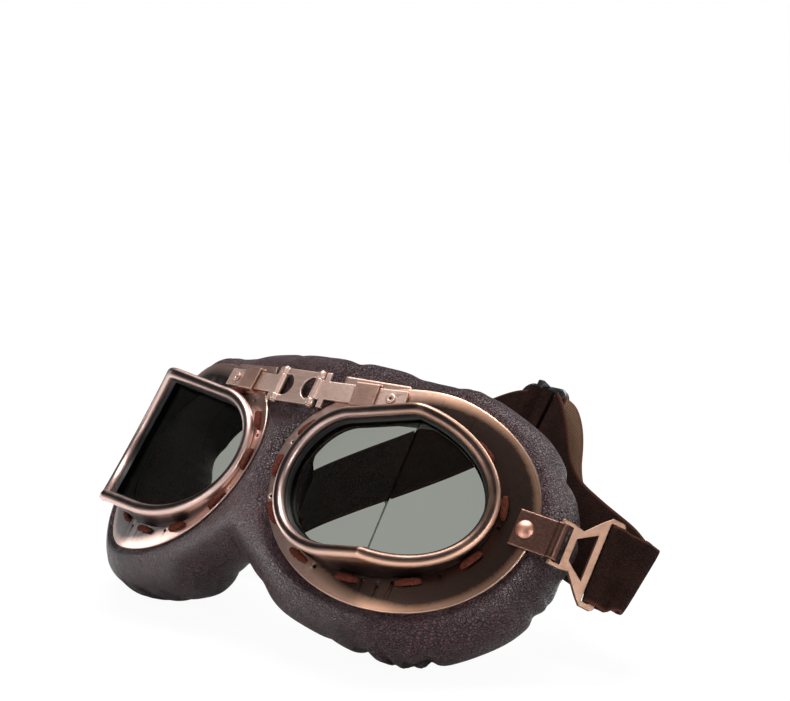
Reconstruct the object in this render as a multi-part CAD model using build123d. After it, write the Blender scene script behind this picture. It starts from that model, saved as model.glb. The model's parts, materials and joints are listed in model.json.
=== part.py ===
from build123d import *
import os
from math import sin, cos, tan, radians, hypot, pi

# Aviator goggles, modelled as worn and then leaned back as they lie on a table.
# Worn frame, millimetres: +X to the wearer's left, +Y back towards the face, +Z up.
# The right-hand half of the picture (wearer's left) is drawn, and the other half is mirrored.

# Whole object
LEAN_DEG = 36.0
HINGE_X = 8.4
OVERRUN = 60.0
CLEAR = 0.3
FIT = 0.1

# Rim: two flat panes that meet at a sharp crease over the outer third of the eye
EYE_X = 59.5
SPLAY_DEG = 2.4
NOSE_TURN_DEG = -4.8
TEMPLE_TURN_DEG = 38.5
RIM_MIDDLE_Z = 2.0
RIM_FORWARD = 0.5
RIM_TOP = 27.0
RIM_BOTTOM = 25.4
RIM_NOSE = 50.7
RIM_TEMPLE = 34.4
RIM_TOP_FLAT = 28.0
RIM_TOP_DROP = 2.5
RIM_BOTTOM_FLAT = 17.0
RIM_BOTTOM_SAG = 0.7
BEAD_WIDTH = 3.7
BEAD_DEPTH = 3.0
WALL = 1.2
RIM_DEPTH = 8.2

# Lenses and their rubber channel
LENS_RECESS = 4.6
LENS_THICKNESS = 2.0
LENS_LIP = 1.3
GASKET_WIDTH = 2.4
GASKET_BACK = 7.8
SEAM_GAP = 0.4

# Plate: the pressed sheet round the rim
PLATE_SHEET = 0.8
PLATE_BEND_X = 58.0
PLATE_BEND_Y = 16.0
PLATE_NOSE_TURN_DEG = 11.5
PLATE_TEMPLE_TURN_DEG = 24.5
PLATE_BEND_RADIUS = 60.0
PLATE_CENTRE_X = 53.0
PLATE_CENTRE_Z = 3.8
PLATE_NOSE = 47.8
PLATE_TEMPLE = 40.0
PLATE_TOP = 33.2
PLATE_BOTTOM = 39.6
EAR_INNER_X = 16.3
EAR_OUTER_X = 40.0
EAR_TOP = 35.0
EAR_DROP = 12.0
EAR_SLOPE = 1.6

# Lace: a cord stitched through pairs of holes round the rim
LACE_PAIRS = 11
LACE_STEPS = 24
LACE_WIDTH = 1.7
LACE_THICKNESS = 1.0
LACE_HOLE = 1.3
LACE_HOLE_OFFSET = 1.8
LACE_STITCH_SHARE = 0.42
LACE_PHASE_SHARE = -0.022
LACE_SHIFT_SHARES = {8: -0.012, 9: -0.030, 10: -0.010}

# Bridge: link, pins, arms, keepers and eyelets
PIN_Y = 5.0
BRIDGE_Z = 27.9
LINK_HEIGHT = 11.9
LINK_HALF = 6.6
LINK_SHEET = 1.0
LINK_CUT_RADIUS = 3.85
LINK_CUT_IN = 2.3
LINK_LUG_HEIGHT = 2.2
KNUCKLE_RADIUS = 1.35
PIN_RADIUS = 0.7
PIN_LENGTH = 12.9
PIN_HEAD_RADIUS = 1.0
PIN_HEAD_LENGTH = 0.4
ARM_RISE_DEG = 5.5
ARM_SHEET = 0.9
ARM_HEIGHT = 6.4
ARM_LENGTH = 33.6
ARM_HEAD_HEIGHT = 12.4
ARM_HEAD_LENGTH = 1.9
ARM_BARREL_GAP = 0.25
KEEPER_START = 14.6
KEEPER_LENGTH = 8.6
KEEPER_SHEET = 0.8
KEEPER_FOOT = 0.4
EYELET_AT = 28.2
EYELET_RADIUS = 1.3
EYELET_BORE = 0.6
EYELET_PROUD = 0.35

# Temple clip, rivet and strap ring
CLIP_START = 32.0
CLIP_LENGTH = 13.4
CLIP_HEIGHT = 11.6
CLIP_SHEET = 0.9
CLIP_Z = 3.5
CLIP_EYE_BORE = 1.15
RIVET_AT = 3.4
RIVET_RADIUS = 2.9
RIVET_DOME = 1.1
RIVET_SHANK = 1.2
RING_TURN_DEG = 54.0
RING_SHEET = 1.6
RING_BAR_RADIUS = 0.8
RING_NECK_HALF = 7.2
RING_WAIST_HALF = 5.4
RING_END_BAR = 1.5
RING_SLOT = 2.4
RING_BAR = 2.2
RING_LENGTH = 18.0
RING_WINDOW_NARROW = 3.6
RING_WINDOW_WIDE = 7.6

# Strap: flat elastic webbing
STRAP_WIDTH = 25.0
STRAP_SHEET = 1.6
STRAP_SIDE = 114.2
STRAP_BEHIND = 66.0
STRAP_HIGH = 53.0
ADJUSTER_SLOPE_DEG = -4.0
ADJUSTER_LENGTH = 20.0
ADJUSTER_RAIL = 3.3
ADJUSTER_GAP = 0.75
ADJUSTER_SHEET = 2.4
ADJUSTER_CORNER = 4.5
ADJUSTER_SLOT = 4.6
ADJUSTER_BAR = 2.6

# Cushion: leather over foam, one half for each eye and a piece between them
CUSHION_REACH = 98.5
CUSHION_TOP = 45.0
CUSHION_DROP = 45.5
CUSHION_DEPTH = 29.5
CUSHION_WIDEST = 15.0
CUSHION_EDGE = 9.0
CUSHION_FOLD = 1.1
LEATHER = 2.0
TUNNEL_X = -11.0
TUNNEL_NOSE = 40.0
TUNNEL_TEMPLE = 39.0
TUNNEL_TOP = 27.5
TUNNEL_BOTTOM = 29.5
BRIDGE_PAD_BACK = 24.0
BRIDGE_PAD_BACK_HALF = 2.6
BRIDGE_PAD_CROWN = 1.5
BRIDGE_PAD_GAP = 0.5
FLOOR_CUT = 0.5

CUSHION_TURN_DEG = (PLATE_NOSE_TURN_DEG + PLATE_TEMPLE_TURN_DEG) / 2
RIM_INSET = (BEAD_WIDTH - WALL) / 4
RING_HALF_HEIGHT = STRAP_WIDTH / 2 + CLEAR + RING_END_BAR
ADJUSTER_HEIGHT = STRAP_WIDTH + 2 * (CLEAR + ADJUSTER_RAIL)


def turned(degrees, along, back=0.0):
    """Point at a distance along and behind a direction turned about Z."""
    a = radians(degrees)
    return (along * cos(a) - back * sin(a), along * sin(a) + back * cos(a))


# Rim outlines

def pane_plane(degrees, depth=0.0):
    """Plane of a pane, seen from the front: X along the pane outwards, Y up."""
    a = radians(degrees)
    front = (sin(a), -cos(a), 0)
    return Plane(origin=(0, 0, 0), x_dir=(cos(a), sin(a), 0), z_dir=front).offset(-depth)


def nose_outline(inset):
    """Closed face of the nose pane, drawn in by inset and run past the crease."""
    past = RIM_NOSE
    top = RIM_TOP - inset
    bottom = -RIM_BOTTOM + inset
    low = bottom - RIM_BOTTOM_SAG
    shoulder = top - RIM_TOP_DROP
    side = -RIM_NOSE + inset
    upper = EllipticalCenterArc((-RIM_TOP_FLAT, RIM_MIDDLE_Z), -side - RIM_TOP_FLAT,
                                shoulder - RIM_MIDDLE_Z, 90, arc_size=90)
    lower = EllipticalCenterArc((-RIM_BOTTOM_FLAT, RIM_MIDDLE_Z), -side - RIM_BOTTOM_FLAT,
                                RIM_MIDDLE_Z - low, 180, arc_size=90)
    lines = [Line((past, top), (0, top)), Line((0, top), upper @ 0),
             Line(lower @ 1, (0, bottom)), Line((0, bottom), (past, bottom)),
             Line((past, bottom), (past, top))]
    return make_face([upper, lower] + lines)


def temple_outline(inset):
    """Closed face of the temple pane, drawn in by inset and run past the crease."""
    past = -RIM_TEMPLE
    top = RIM_TOP - inset
    bottom = -RIM_BOTTOM + inset
    reach = RIM_TEMPLE - inset
    lower = EllipticalCenterArc((0, RIM_MIDDLE_Z), reach, RIM_MIDDLE_Z - bottom, -90, arc_size=90)
    upper = EllipticalCenterArc((0, RIM_MIDDLE_Z), reach, top - RIM_MIDDLE_Z, 0, arc_size=90)
    lines = [Line(upper @ 1, (past, top)), Line((past, top), (past, bottom)),
             Line((past, bottom), lower @ 0)]
    return make_face([lower, upper] + lines)


def crease_side(temple, gap=0.0):
    """Half space on the nose or the temple side of the crease's mitre plane."""
    middle = (NOSE_TURN_DEG + TEMPLE_TURN_DEG) / 2
    reach = 2 * OVERRUN
    shift = (reach / 2 + gap / 2) * (1 if temple else -1)
    return Rot(0, 0, middle) * Pos(shift, 0, 0) * Box(reach, 2 * reach, 2 * reach)


def panes(inset, front, back, gap=0.0):
    """The nose and temple blocks of an outline between two depths behind the panes."""
    nose = extrude(pane_plane(NOSE_TURN_DEG, front) * nose_outline(inset), amount=-(back - front))
    temple = extrude(pane_plane(TEMPLE_TURN_DEG, front) * temple_outline(inset), amount=-(back - front))
    return nose & crease_side(False, gap), temple & crease_side(True, gap)


def block(inset, front, back):
    """Both panes' blocks as one solid."""
    nose, temple = panes(inset, front, back)
    return nose + temple


def band(outer, inner, front, back):
    """Ring between two outlines and two depths, mitred at the crease."""
    margin = WALL
    outside = panes(outer, front, back)
    inside = panes(inner, front - margin, back + margin)
    return (outside[0] - inside[0] - inside[1]) + (outside[1] - inside[0] - inside[1])


def seat(shape):
    """Put a rim piece at its eye, with the frame's small splay."""
    return Pos(EYE_X, -RIM_FORWARD, 0) * Rot(0, -SPLAY_DEG, 0) * shape


# Plate surface

def plate_path(depth):
    """Bent line of the plate, seen from above, at a depth behind its front face."""
    reach = 1.4 * PLATE_BEND_X
    half_bend = radians((PLATE_TEMPLE_TURN_DEG - PLATE_NOSE_TURN_DEG) / 2)
    inner = turned(PLATE_NOSE_TURN_DEG, -reach, depth)
    middle = turned(CUSHION_TURN_DEG, 0, depth / cos(half_bend))
    outer = turned(PLATE_TEMPLE_TURN_DEG, reach, depth)
    points = [(PLATE_BEND_X + p[0], PLATE_BEND_Y + p[1]) for p in (inner, middle, outer)]
    return FilletPolyline(*points, radius=PLATE_BEND_RADIUS - depth)


def between(front, back):
    """Bent slab between two depths behind the plate's front face."""
    a = plate_path(front)
    b = plate_path(back)
    face = make_face([*a.edges(), *b.edges(), Line(a @ 0, b @ 0), Line(a @ 1, b @ 1)])
    return Pos(0, 0, -OVERRUN) * extrude(face, amount=2 * OVERRUN)


def plate_y(x, depth=0.0):
    """Y of the plate at a given X, for a depth behind its front face."""
    turn = PLATE_NOSE_TURN_DEG if x < PLATE_BEND_X else PLATE_TEMPLE_TURN_DEG
    return PLATE_BEND_Y + (x - PLATE_BEND_X) * tan(radians(turn)) + depth / cos(radians(turn))


def egg(centre, nose, temple, top, bottom):
    """Egg-shaped face of four elliptic quarters."""
    quarters = [
        EllipticalCenterArc(centre, temple, top, 0, arc_size=90),
        EllipticalCenterArc(centre, nose, top, 90, arc_size=90),
        EllipticalCenterArc(centre, nose, bottom, 180, arc_size=90),
        EllipticalCenterArc(centre, temple, bottom, 270, arc_size=90),
    ]
    return make_face(quarters)


def from_front(face):
    """Long block of a face seen from the front."""
    return extrude(Plane.XZ * face, amount=OVERRUN, both=True)


# Lace stations

def quarter(centre, half_width, half_height, start):
    """Points of a quarter ellipse, clockwise as seen from the front."""
    steps = LACE_STEPS
    angles = [radians(start - 90 * i / steps) for i in range(steps)]
    return [(centre[0] + half_width * cos(a), centre[1] + half_height * sin(a)) for a in angles]


def straight(a, b):
    """Points of a straight run."""
    return [(a[0] + (b[0] - a[0]) * i / LACE_STEPS, a[1] + (b[1] - a[1]) * i / LACE_STEPS)
            for i in range(LACE_STEPS)]


def rim_foot():
    """Where the rim's outline, grown by the lace's offset, meets the plate, clockwise from the crease top."""
    grown = LACE_HOLE_OFFSET
    top = RIM_TOP + grown
    bottom = -RIM_BOTTOM - grown
    low = bottom - RIM_BOTTOM_SAG
    shoulder = top - RIM_TOP_DROP
    middle = RIM_MIDDLE_Z
    side = RIM_NOSE + grown
    reach = RIM_TEMPLE + grown
    temple = quarter((0, middle), reach, top - middle, 90) + quarter((0, middle), reach, middle - bottom, 0)
    nose = (straight((0, bottom), (-RIM_BOTTOM_FLAT, low))
            + quarter((-RIM_BOTTOM_FLAT, middle), side - RIM_BOTTOM_FLAT, middle - low, -90)
            + quarter((-RIM_TOP_FLAT, middle), side - RIM_TOP_FLAT, shoulder - middle, -180)
            + straight((-RIM_TOP_FLAT, shoulder), (0, top)))
    splay = radians(SPLAY_DEG)
    places = []
    for points, turn in ((temple, TEMPLE_TURN_DEG), (nose, NOSE_TURN_DEG)):
        back = turned(turn, 0, 1)
        for along, z in points:
            x, y = turned(turn, along)
            y -= RIM_FORWARD
            wall = plate_y(EYE_X + x) - y
            slope = tan(radians(PLATE_TEMPLE_TURN_DEG if x > 0 else PLATE_NOSE_TURN_DEG))
            depth = wall / (back[1] - slope * back[0])
            x += depth * back[0]
            places.append((EYE_X + x * cos(splay) - z * sin(splay), z * cos(splay) + x * sin(splay)))
    return places


def lace_places():
    """Pairs of hole centres, evenly spaced by length round the rim's foot."""
    places = rim_foot()
    count = len(places)
    lengths = [0.0]
    for i in range(count):
        a, b = places[i], places[(i + 1) % count]
        lengths.append(lengths[-1] + hypot(b[0] - a[0], b[1] - a[1]))

    def at(share):
        want = (share % 1.0) * lengths[-1]
        i = max(k for k in range(count) if lengths[k] <= want)
        t = (want - lengths[i]) / (lengths[i + 1] - lengths[i])
        a, b = places[i], places[(i + 1) % count]
        return (a[0] + t * (b[0] - a[0]), a[1] + t * (b[1] - a[1]))

    pitch_share = 1.0 / LACE_PAIRS
    starts = [LACE_PHASE_SHARE + k * pitch_share + LACE_SHIFT_SHARES.get(k, 0) for k in range(LACE_PAIRS)]
    return [(at(s), at(s + LACE_STITCH_SHARE * pitch_share)) for s in starts]


def plate_spot(x, z, depth):
    """Location on the plate with its own Z axis pointing to the back."""
    turn = PLATE_NOSE_TURN_DEG if x < PLATE_BEND_X else PLATE_TEMPLE_TURN_DEG
    return Pos(x, plate_y(x, depth), z) * Rot(0, 0, turn) * Rot(-90, 0, 0)


def make_lace():
    """Eleven stitches: a flat run on the plate with a leg into each hole."""
    stitches = []
    lift = CLEAR + LACE_THICKNESS / 2
    for a, b in lace_places():
        pa = Vector(a[0], plate_y(a[0], -lift), a[1])
        pb = Vector(b[0], plate_y(b[0], -lift), b[1])
        run = pb - pa
        turn = CUSHION_TURN_DEG if abs(pa.X - PLATE_BEND_X) < LACE_WIDTH else (
            PLATE_NOSE_TURN_DEG if pa.X < PLATE_BEND_X else PLATE_TEMPLE_TURN_DEG)
        front = Vector(sin(radians(turn)), -cos(radians(turn)), 0)
        front = (front - run.normalized() * front.dot(run.normalized())).normalized()
        place = Plane(origin=(pa + pb) * 0.5, x_dir=run, z_dir=front)
        flat = Box(run.length + LACE_HOLE, LACE_WIDTH, LACE_THICKNESS)
        flat = fillet(flat.edges().filter_by(Axis.X), LACE_THICKNESS * 0.4)
        stitch = place * flat
        for x, z in (a, b):
            leg = Cylinder((LACE_HOLE - FIT) / 2, lift + PLATE_SHEET, align=(Align.CENTER, Align.CENTER, Align.MIN))
            stitch += plate_spot(x, z, -lift) * leg
        stitches.append(stitch)
    return stitches


# Metal frame of one eye

# Layers of the bead: how far each is drawn in, as a share of its width, and its front and back, of its depth
BEAD_LAYER_SHARES = [(0.0, 0.3, 0.7), (0.108, 0.1, 0.9), (0.243, 0.0, 1.0)]


def make_bead():
    """Rolled front edge of the rim, an oval bar round both outlines."""
    rings = []
    for turn, outline, temple in ((NOSE_TURN_DEG, nose_outline, False), (TEMPLE_TURN_DEG, temple_outline, True)):
        layers = []
        for inset_share, front_share, back_share in BEAD_LAYER_SHARES:
            inset = inset_share * BEAD_WIDTH
            front = front_share * BEAD_DEPTH
            depth = (back_share - front_share) * BEAD_DEPTH
            outer = extrude(pane_plane(turn, front) * outline(inset), amount=-depth)
            hole = extrude(pane_plane(turn, front - WALL) * outline(BEAD_WIDTH - inset), amount=-(depth + 2 * WALL))
            layers.append(outer - hole)
        ring = layers[0] + layers[1] + layers[2]
        rings.append(ring & crease_side(temple))
    return rings[0] + rings[1]


def make_rim(plate_back):
    """Wall of the rim down to the plate, with the bead on its front edge."""
    short = band(RIM_INSET, RIM_INSET + WALL, BEAD_DEPTH / 2, RIM_DEPTH)
    tall = band(RIM_INSET, RIM_INSET + WALL, RIM_DEPTH, RIM_DEPTH + PLATE_BEND_Y)
    return seat(make_bead() + short) + (seat(tall) & plate_back)


def make_gasket():
    """Rubber channel that grips both lenses inside the rim."""
    inset = RIM_INSET + WALL + FIT
    ring = band(inset, inset + GASKET_WIDTH, BEAD_DEPTH + FIT, GASKET_BACK)
    groove = block(inset + GASKET_WIDTH - LENS_LIP - FIT, LENS_RECESS - FIT, LENS_RECESS + LENS_THICKNESS + FIT)
    return seat(ring - groove)


def make_lenses():
    """Flat front lens and flat side lens, with a hairline seam at the crease."""
    inset = RIM_INSET + WALL + FIT + GASKET_WIDTH - LENS_LIP
    front, side = panes(inset, LENS_RECESS, LENS_RECESS + LENS_THICKNESS, SEAM_GAP)
    return seat(front), seat(side)


def make_plate(rim_block):
    """Bent sheet with its ear, rim opening, and lace holes."""
    outline = egg((PLATE_CENTRE_X, PLATE_CENTRE_Z), PLATE_NOSE, PLATE_TEMPLE, PLATE_TOP, PLATE_BOTTOM)
    ear = make_face(Polyline((EAR_INNER_X, EAR_TOP), (EAR_OUTER_X, EAR_TOP + EAR_SLOPE),
                             (EAR_OUTER_X, EAR_TOP - EAR_DROP), (EAR_INNER_X, EAR_TOP - EAR_DROP), close=True))
    plate = between(0, PLATE_SHEET) & (from_front(outline) + from_front(ear))
    plate -= rim_block
    for pair in lace_places():
        for x, z in pair:
            plate -= plate_spot(x, z, -PLATE_SHEET) * Cylinder(LACE_HOLE / 2, 4 * PLATE_SHEET)
    return plate


# Bridge

def arm_place():
    """Frame of an arm: X outwards along it, Y to the back, Z up, origin at the pin."""
    return Pos(HINGE_X, PIN_Y, BRIDGE_Z) * Rot(0, 0, PLATE_NOSE_TURN_DEG) * Rot(0, -ARM_RISE_DEG, 0)


def make_arm():
    """Flat arm with a tall head, a barrel round the pin and an eyelet hole."""
    back = -plate_gap_at_pin()
    strip_start = KNUCKLE_RADIUS * 0.6
    middle = back - ARM_SHEET / 2
    low_lug = LINK_HEIGHT / 2 - LINK_LUG_HEIGHT - ARM_BARREL_GAP
    strip = Pos((strip_start + ARM_LENGTH) / 2, middle, 0) * Box(ARM_LENGTH - strip_start, ARM_SHEET, ARM_HEIGHT)
    head_start = KNUCKLE_RADIUS + ARM_BARREL_GAP + ARM_HEAD_HEIGHT / 2 * sin(radians(ARM_RISE_DEG))
    head = Pos(head_start + ARM_HEAD_LENGTH / 2, middle, 0) * Box(ARM_HEAD_LENGTH, ARM_SHEET, ARM_HEAD_HEIGHT)
    neck = Pos((KNUCKLE_RADIUS + ARM_HEAD_LENGTH) / 2, middle, 0) * Box(
        KNUCKLE_RADIUS + ARM_HEAD_LENGTH, ARM_SHEET, 2 * low_lug)
    eyelet_hole = Pos(EYELET_AT, middle, 0) * Rot(90, 0, 0) * Cylinder(EYELET_RADIUS, 3 * ARM_SHEET)
    flat = Rot(0, -ARM_RISE_DEG, 0) * (strip + head + neck - eyelet_hole)
    barrel = Cylinder(KNUCKLE_RADIUS, 2 * low_lug) - Cylinder(PIN_RADIUS + FIT, 4 * low_lug)
    bore = Cylinder(PIN_RADIUS + FIT, 2 * ARM_HEAD_HEIGHT)
    return Pos(HINGE_X, PIN_Y, BRIDGE_Z) * Rot(0, 0, PLATE_NOSE_TURN_DEG) * (flat - bore + barrel)


def plate_gap_at_pin():
    """How far the arm's back face lies in front of the pin's axis, to lie just off the plate."""
    along, back = turned(-PLATE_NOSE_TURN_DEG, HINGE_X - PLATE_BEND_X, PIN_Y - PLATE_BEND_Y)
    return back + CLEAR


def make_eyelet():
    """Hollow rivet in the arm's outer tab, which stops it in the keeper."""
    middle = -plate_gap_at_pin() - ARM_SHEET / 2
    length = ARM_SHEET + EYELET_PROUD
    ring = Cylinder(EYELET_RADIUS, length) - Cylinder(EYELET_BORE, 2 * length)
    lip = Pos(0, 0, length / 2) * (Cylinder(EYELET_RADIUS + EYELET_PROUD, EYELET_PROUD)
                                   - Cylinder(EYELET_BORE, 2 * length))
    return arm_place() * Pos(EYELET_AT, middle - EYELET_PROUD / 2, 0) * Rot(90, 0, 0) * (ring + lip)


def make_keeper():
    """Raised band over the arm, fixed to the plate's ear by a foot above and below."""
    back = -plate_gap_at_pin() + CLEAR
    inner_height = ARM_HEIGHT + 2 * CLEAR
    inner_depth = ARM_SHEET + 2 * CLEAR
    outer_height = inner_height + 2 * KEEPER_SHEET
    depth = inner_depth + KEEPER_SHEET
    x = KEEPER_START + KEEPER_LENGTH / 2
    outer = Pos(x, back - depth / 2, 0) * Box(KEEPER_LENGTH, depth, outer_height)
    outer = fillet(outer.edges().filter_by(Axis.X).group_by(Axis.Y)[0], KEEPER_SHEET)
    tunnel = Pos(x, back - inner_depth / 2 + FIT, 0) * Box(2 * KEEPER_LENGTH, inner_depth + 2 * FIT, inner_height)
    feet = Pos(x, back - KEEPER_SHEET / 4, 0) * Box(
        KEEPER_LENGTH, KEEPER_SHEET / 2, outer_height + 2 * KEEPER_FOOT)
    return arm_place() * (outer + feet - tunnel)


def make_link():
    """Link plate with a round cut at each side and two lugs round each pin."""
    plate = Box(2 * LINK_HALF, LINK_SHEET, LINK_HEIGHT)
    link = plate
    for side in (-1, 1):
        cut = Pos(side * (HINGE_X - LINK_CUT_IN), 0, 0) * Rot(90, 0, 0) * Cylinder(LINK_CUT_RADIUS + FIT, 3 * LINK_SHEET)
        link -= cut + Pos(side * HINGE_X, 0, 0) * Box(
            2 * LINK_CUT_IN, 3 * LINK_SHEET, LINK_HEIGHT - 2 * LINK_LUG_HEIGHT)
        for up in (-1, 1):
            lug_z = up * (LINK_HEIGHT - LINK_LUG_HEIGHT) / 2
            reach = HINGE_X - LINK_HALF + PIN_RADIUS
            arm = Pos(side * (HINGE_X - reach / 2), 0, lug_z) * Box(reach, LINK_SHEET, LINK_LUG_HEIGHT)
            eye = Pos(side * HINGE_X, 0, lug_z) * Cylinder(KNUCKLE_RADIUS, LINK_LUG_HEIGHT)
            link += arm + eye
    for side in (-1, 1):
        link -= Pos(side * HINGE_X, 0, 0) * Cylinder(PIN_RADIUS + FIT, 2 * LINK_HEIGHT)
    return Pos(0, PIN_Y, BRIDGE_Z) * link


def make_pin():
    """Hinge pin with a small head at each end."""
    pin = Cylinder(PIN_RADIUS, PIN_LENGTH)
    for up in (-1, 1):
        pin += Pos(0, 0, up * (PIN_LENGTH - PIN_HEAD_LENGTH) / 2) * Cylinder(PIN_HEAD_RADIUS, PIN_HEAD_LENGTH)
    return Pos(HINGE_X, PIN_Y, BRIDGE_Z) * pin


# Temple clip and ring

def clip_place():
    """Frame of the clip: X out along the plate, Y to the back, Z up, origin on the plate's bend."""
    return Pos(PLATE_BEND_X, PLATE_BEND_Y, CLIP_Z) * Rot(0, 0, PLATE_TEMPLE_TURN_DEG)


CLIP_EYE_X = CLIP_START + CLIP_LENGTH
CLIP_EYE_RADIUS = CLIP_EYE_BORE + CLIP_SHEET


def make_clip():
    """Folded sheet: a leaf on each face of the plate and an eye round the ring's bar."""
    leaf = CLIP_LENGTH
    front = Pos(CLIP_START + leaf / 2, -FIT - CLIP_SHEET / 2, 0) * Box(leaf, CLIP_SHEET, CLIP_HEIGHT)
    back = Pos(CLIP_START + leaf / 2, PLATE_SHEET + FIT + CLIP_SHEET / 2, 0) * Box(leaf, CLIP_SHEET, CLIP_HEIGHT)
    eye = Pos(CLIP_EYE_X, PLATE_SHEET / 2, 0) * Cylinder(CLIP_EYE_RADIUS, CLIP_HEIGHT)
    bore = Pos(CLIP_EYE_X, PLATE_SHEET / 2, 0) * Cylinder(CLIP_EYE_BORE, 2 * CLIP_HEIGHT)
    hole = Pos(CLIP_START + RIVET_AT, 0, 0) * Rot(90, 0, 0) * Cylinder(RIVET_SHANK + FIT, 8 * CLIP_SHEET)
    return clip_place() * (front + back + eye - bore - hole)


def rivet_cut():
    """Hole for the rivet through the plate."""
    return clip_place() * Pos(CLIP_START + RIVET_AT, 0, 0) * Rot(90, 0, 0) * Cylinder(
        RIVET_SHANK + FIT, 4 * PLATE_SHEET)


def make_rivet():
    """Domed rivet through the clip and the plate, with a small tail."""
    front = FIT + CLIP_SHEET
    back = PLATE_SHEET + FIT + CLIP_SHEET
    sphere_radius = (RIVET_RADIUS ** 2 + RIVET_DOME ** 2) / (2 * RIVET_DOME)
    dome = Pos(0, 0, RIVET_DOME - sphere_radius) * Sphere(sphere_radius)
    dome &= Cylinder(2 * RIVET_RADIUS, RIVET_DOME, align=(Align.CENTER, Align.CENTER, Align.MIN))
    shank = Pos(0, 0, -(front + back) / 2) * Cylinder(RIVET_SHANK, front + back)
    tail = Pos(0, 0, -(front + back) - RIVET_DOME / 4) * Cylinder(RIVET_SHANK * 1.6, RIVET_DOME / 2)
    head = Pos(CLIP_START + RIVET_AT, -front, 0) * Rot(90, 0, 0)
    return clip_place() * head * (dome + shank + tail)


def ring_place():
    """Frame of the ring: X out from the clip's eye, Y to the back, Z up."""
    x, y = turned(PLATE_TEMPLE_TURN_DEG, CLIP_EYE_X, PLATE_SHEET / 2)
    return Pos(PLATE_BEND_X + x, PLATE_BEND_Y + y, CLIP_Z) * Rot(0, 0, RING_TURN_DEG)


def make_ring():
    """Flat cast ring: hinge bar, waist, window, and the slot and bar that hold the strap."""
    neck_x = CLIP_EYE_RADIUS + CLEAR + RING_BAR_RADIUS
    window_x = neck_x + RING_BAR
    middle_x = RING_LENGTH - 2 * RING_BAR - RING_SLOT
    slot_x = RING_LENGTH - RING_BAR - RING_SLOT
    waist_x = (neck_x + window_x) / 2 + RING_BAR
    upper = [(0, RING_NECK_HALF), (neck_x, RING_NECK_HALF), (waist_x, RING_WAIST_HALF + RING_BAR / 2),
             (middle_x, RING_HALF_HEIGHT - RING_BAR), (slot_x, RING_HALF_HEIGHT), (RING_LENGTH, RING_HALF_HEIGHT)]
    outline = upper + [(x, -z) for x, z in reversed(upper)]
    flat = make_face(Polyline(*outline, close=True))
    window = make_face(Polyline((window_x, RING_WINDOW_NARROW), (middle_x, RING_WINDOW_WIDE),
                                (middle_x, -RING_WINDOW_WIDE), (window_x, -RING_WINDOW_NARROW), close=True))
    slot_half = STRAP_WIDTH / 2 + CLEAR
    slot = Pos(slot_x + RING_SLOT / 2, 0) * Rectangle(RING_SLOT, 2 * slot_half)
    notch_half = CLIP_HEIGHT / 2 + CLEAR
    notch = Pos(neck_x / 2 - RING_BAR_RADIUS, 0) * Rectangle(neck_x + 2 * RING_BAR_RADIUS, 2 * notch_half)
    body = extrude(Plane.XZ * (flat - window - slot - notch), amount=RING_SHEET / 2, both=True)
    corners = body.edges().filter_by(Axis.Y).group_by(Axis.X)[-1]
    body = fillet(corners, RING_BAR / 2)
    bar = Cylinder(RING_BAR_RADIUS, 2 * notch_half + RING_BAR)
    return ring_place() * (body + bar)


# Strap

# The strap's stations: shares of its side, its depth and its height, and the lean of its upper edge
FOLD_SHARES = [
    (0.998, 0.836, 0.079, 0, 0.2, 0.98),
    (1.001, 0.876, 0.091, 0, 0.28, 0.96),
    (0.992, 0.914, 0.104, 0, 0.25, 0.97),
    (0.975, 0.935, 0.117, 0, 0.16, 0.985),
    (0.959, 0.937, 0.125, 0, 0.12, 0.99),
]
INNER_SHARES = [
    (0.955, 0.923, 0.125, 0, 0.12, 0.99),
    (0.849, 0.932, 0.226, 0.34, 0, 0.94),
    (0.733, 0.924, 0.336, 0.41, 0, 0.91),
    (0.630, 0.929, 0.453, 0.54, 0, 0.84),
    (0.552, 0.936, 0.604, 0.73, 0, 0.68),
    (0.501, 0.942, 0.764, 0.79, 0, 0.62),
    (0.475, 0.950, 0.887, 0.5, 0, 0.87),
    (0.464, 0.954, 0.992, 0.07, 0, 1),
]
OUTER_SHARES = [
    (0.955, 0.951, 0.125, 0, 0.12, 0.99),
    (0.841, 0.977, 0.213, 0.31, 0, 0.95),
    (0.736, 1.008, 0.292, 0.37, 0, 0.93),
    (0.639, 1.039, 0.396, 0.56, 0, 0.83),
    (0.565, 1.061, 0.519, 0.74, 0, 0.67),
    (0.517, 1.065, 0.670, 0.85, 0, 0.53),
    (0.493, 1.058, 0.821, 0.83, 0, 0.56),
    (0.489, 1.027, 0.943, 0.41, 0, 0.91),
    (0.479, 1.002, 0.989, 0.07, 0, 1),
]
REAR_SHARES = [
    (0.477, 1.000, 0.989, 0.07, 0, 1),
    (0.398, 1.000, 1.000, 0.07, 0, 1),
    (0.318, 1.000, 1.000, -0.07, 0, 1),
    (0.236, 1.000, 0.896, -0.41, 0, 0.91),
    (0.123, 1.000, 0.745, -0.48, 0, 0.87),
    (-0.018, 1.000, 0.575, -0.47, 0, 0.88),
    (-0.158, 1.008, 0.421, -0.45, 0, 0.89),
    (-0.303, 1.020, 0.249, -0.45, 0, 0.89),
    (-0.438, 1.041, 0.050, -0.41, 0, 0.91),
    (-0.560, 1.061, -0.118, -0.26, 0, 0.97),
    (-0.683, 1.061, -0.176, -0, 0, 1),
    (-0.806, 1.030, -0.112, 0.08, 0.03, 1),
    (-0.893, 0.985, 0.020, 0.08, 0.06, 1),
    (-0.955, 0.938, 0.121, 0, 0.12, 0.99),
]
ADJUSTER_SHARES = (1.000, 1.000)


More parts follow.
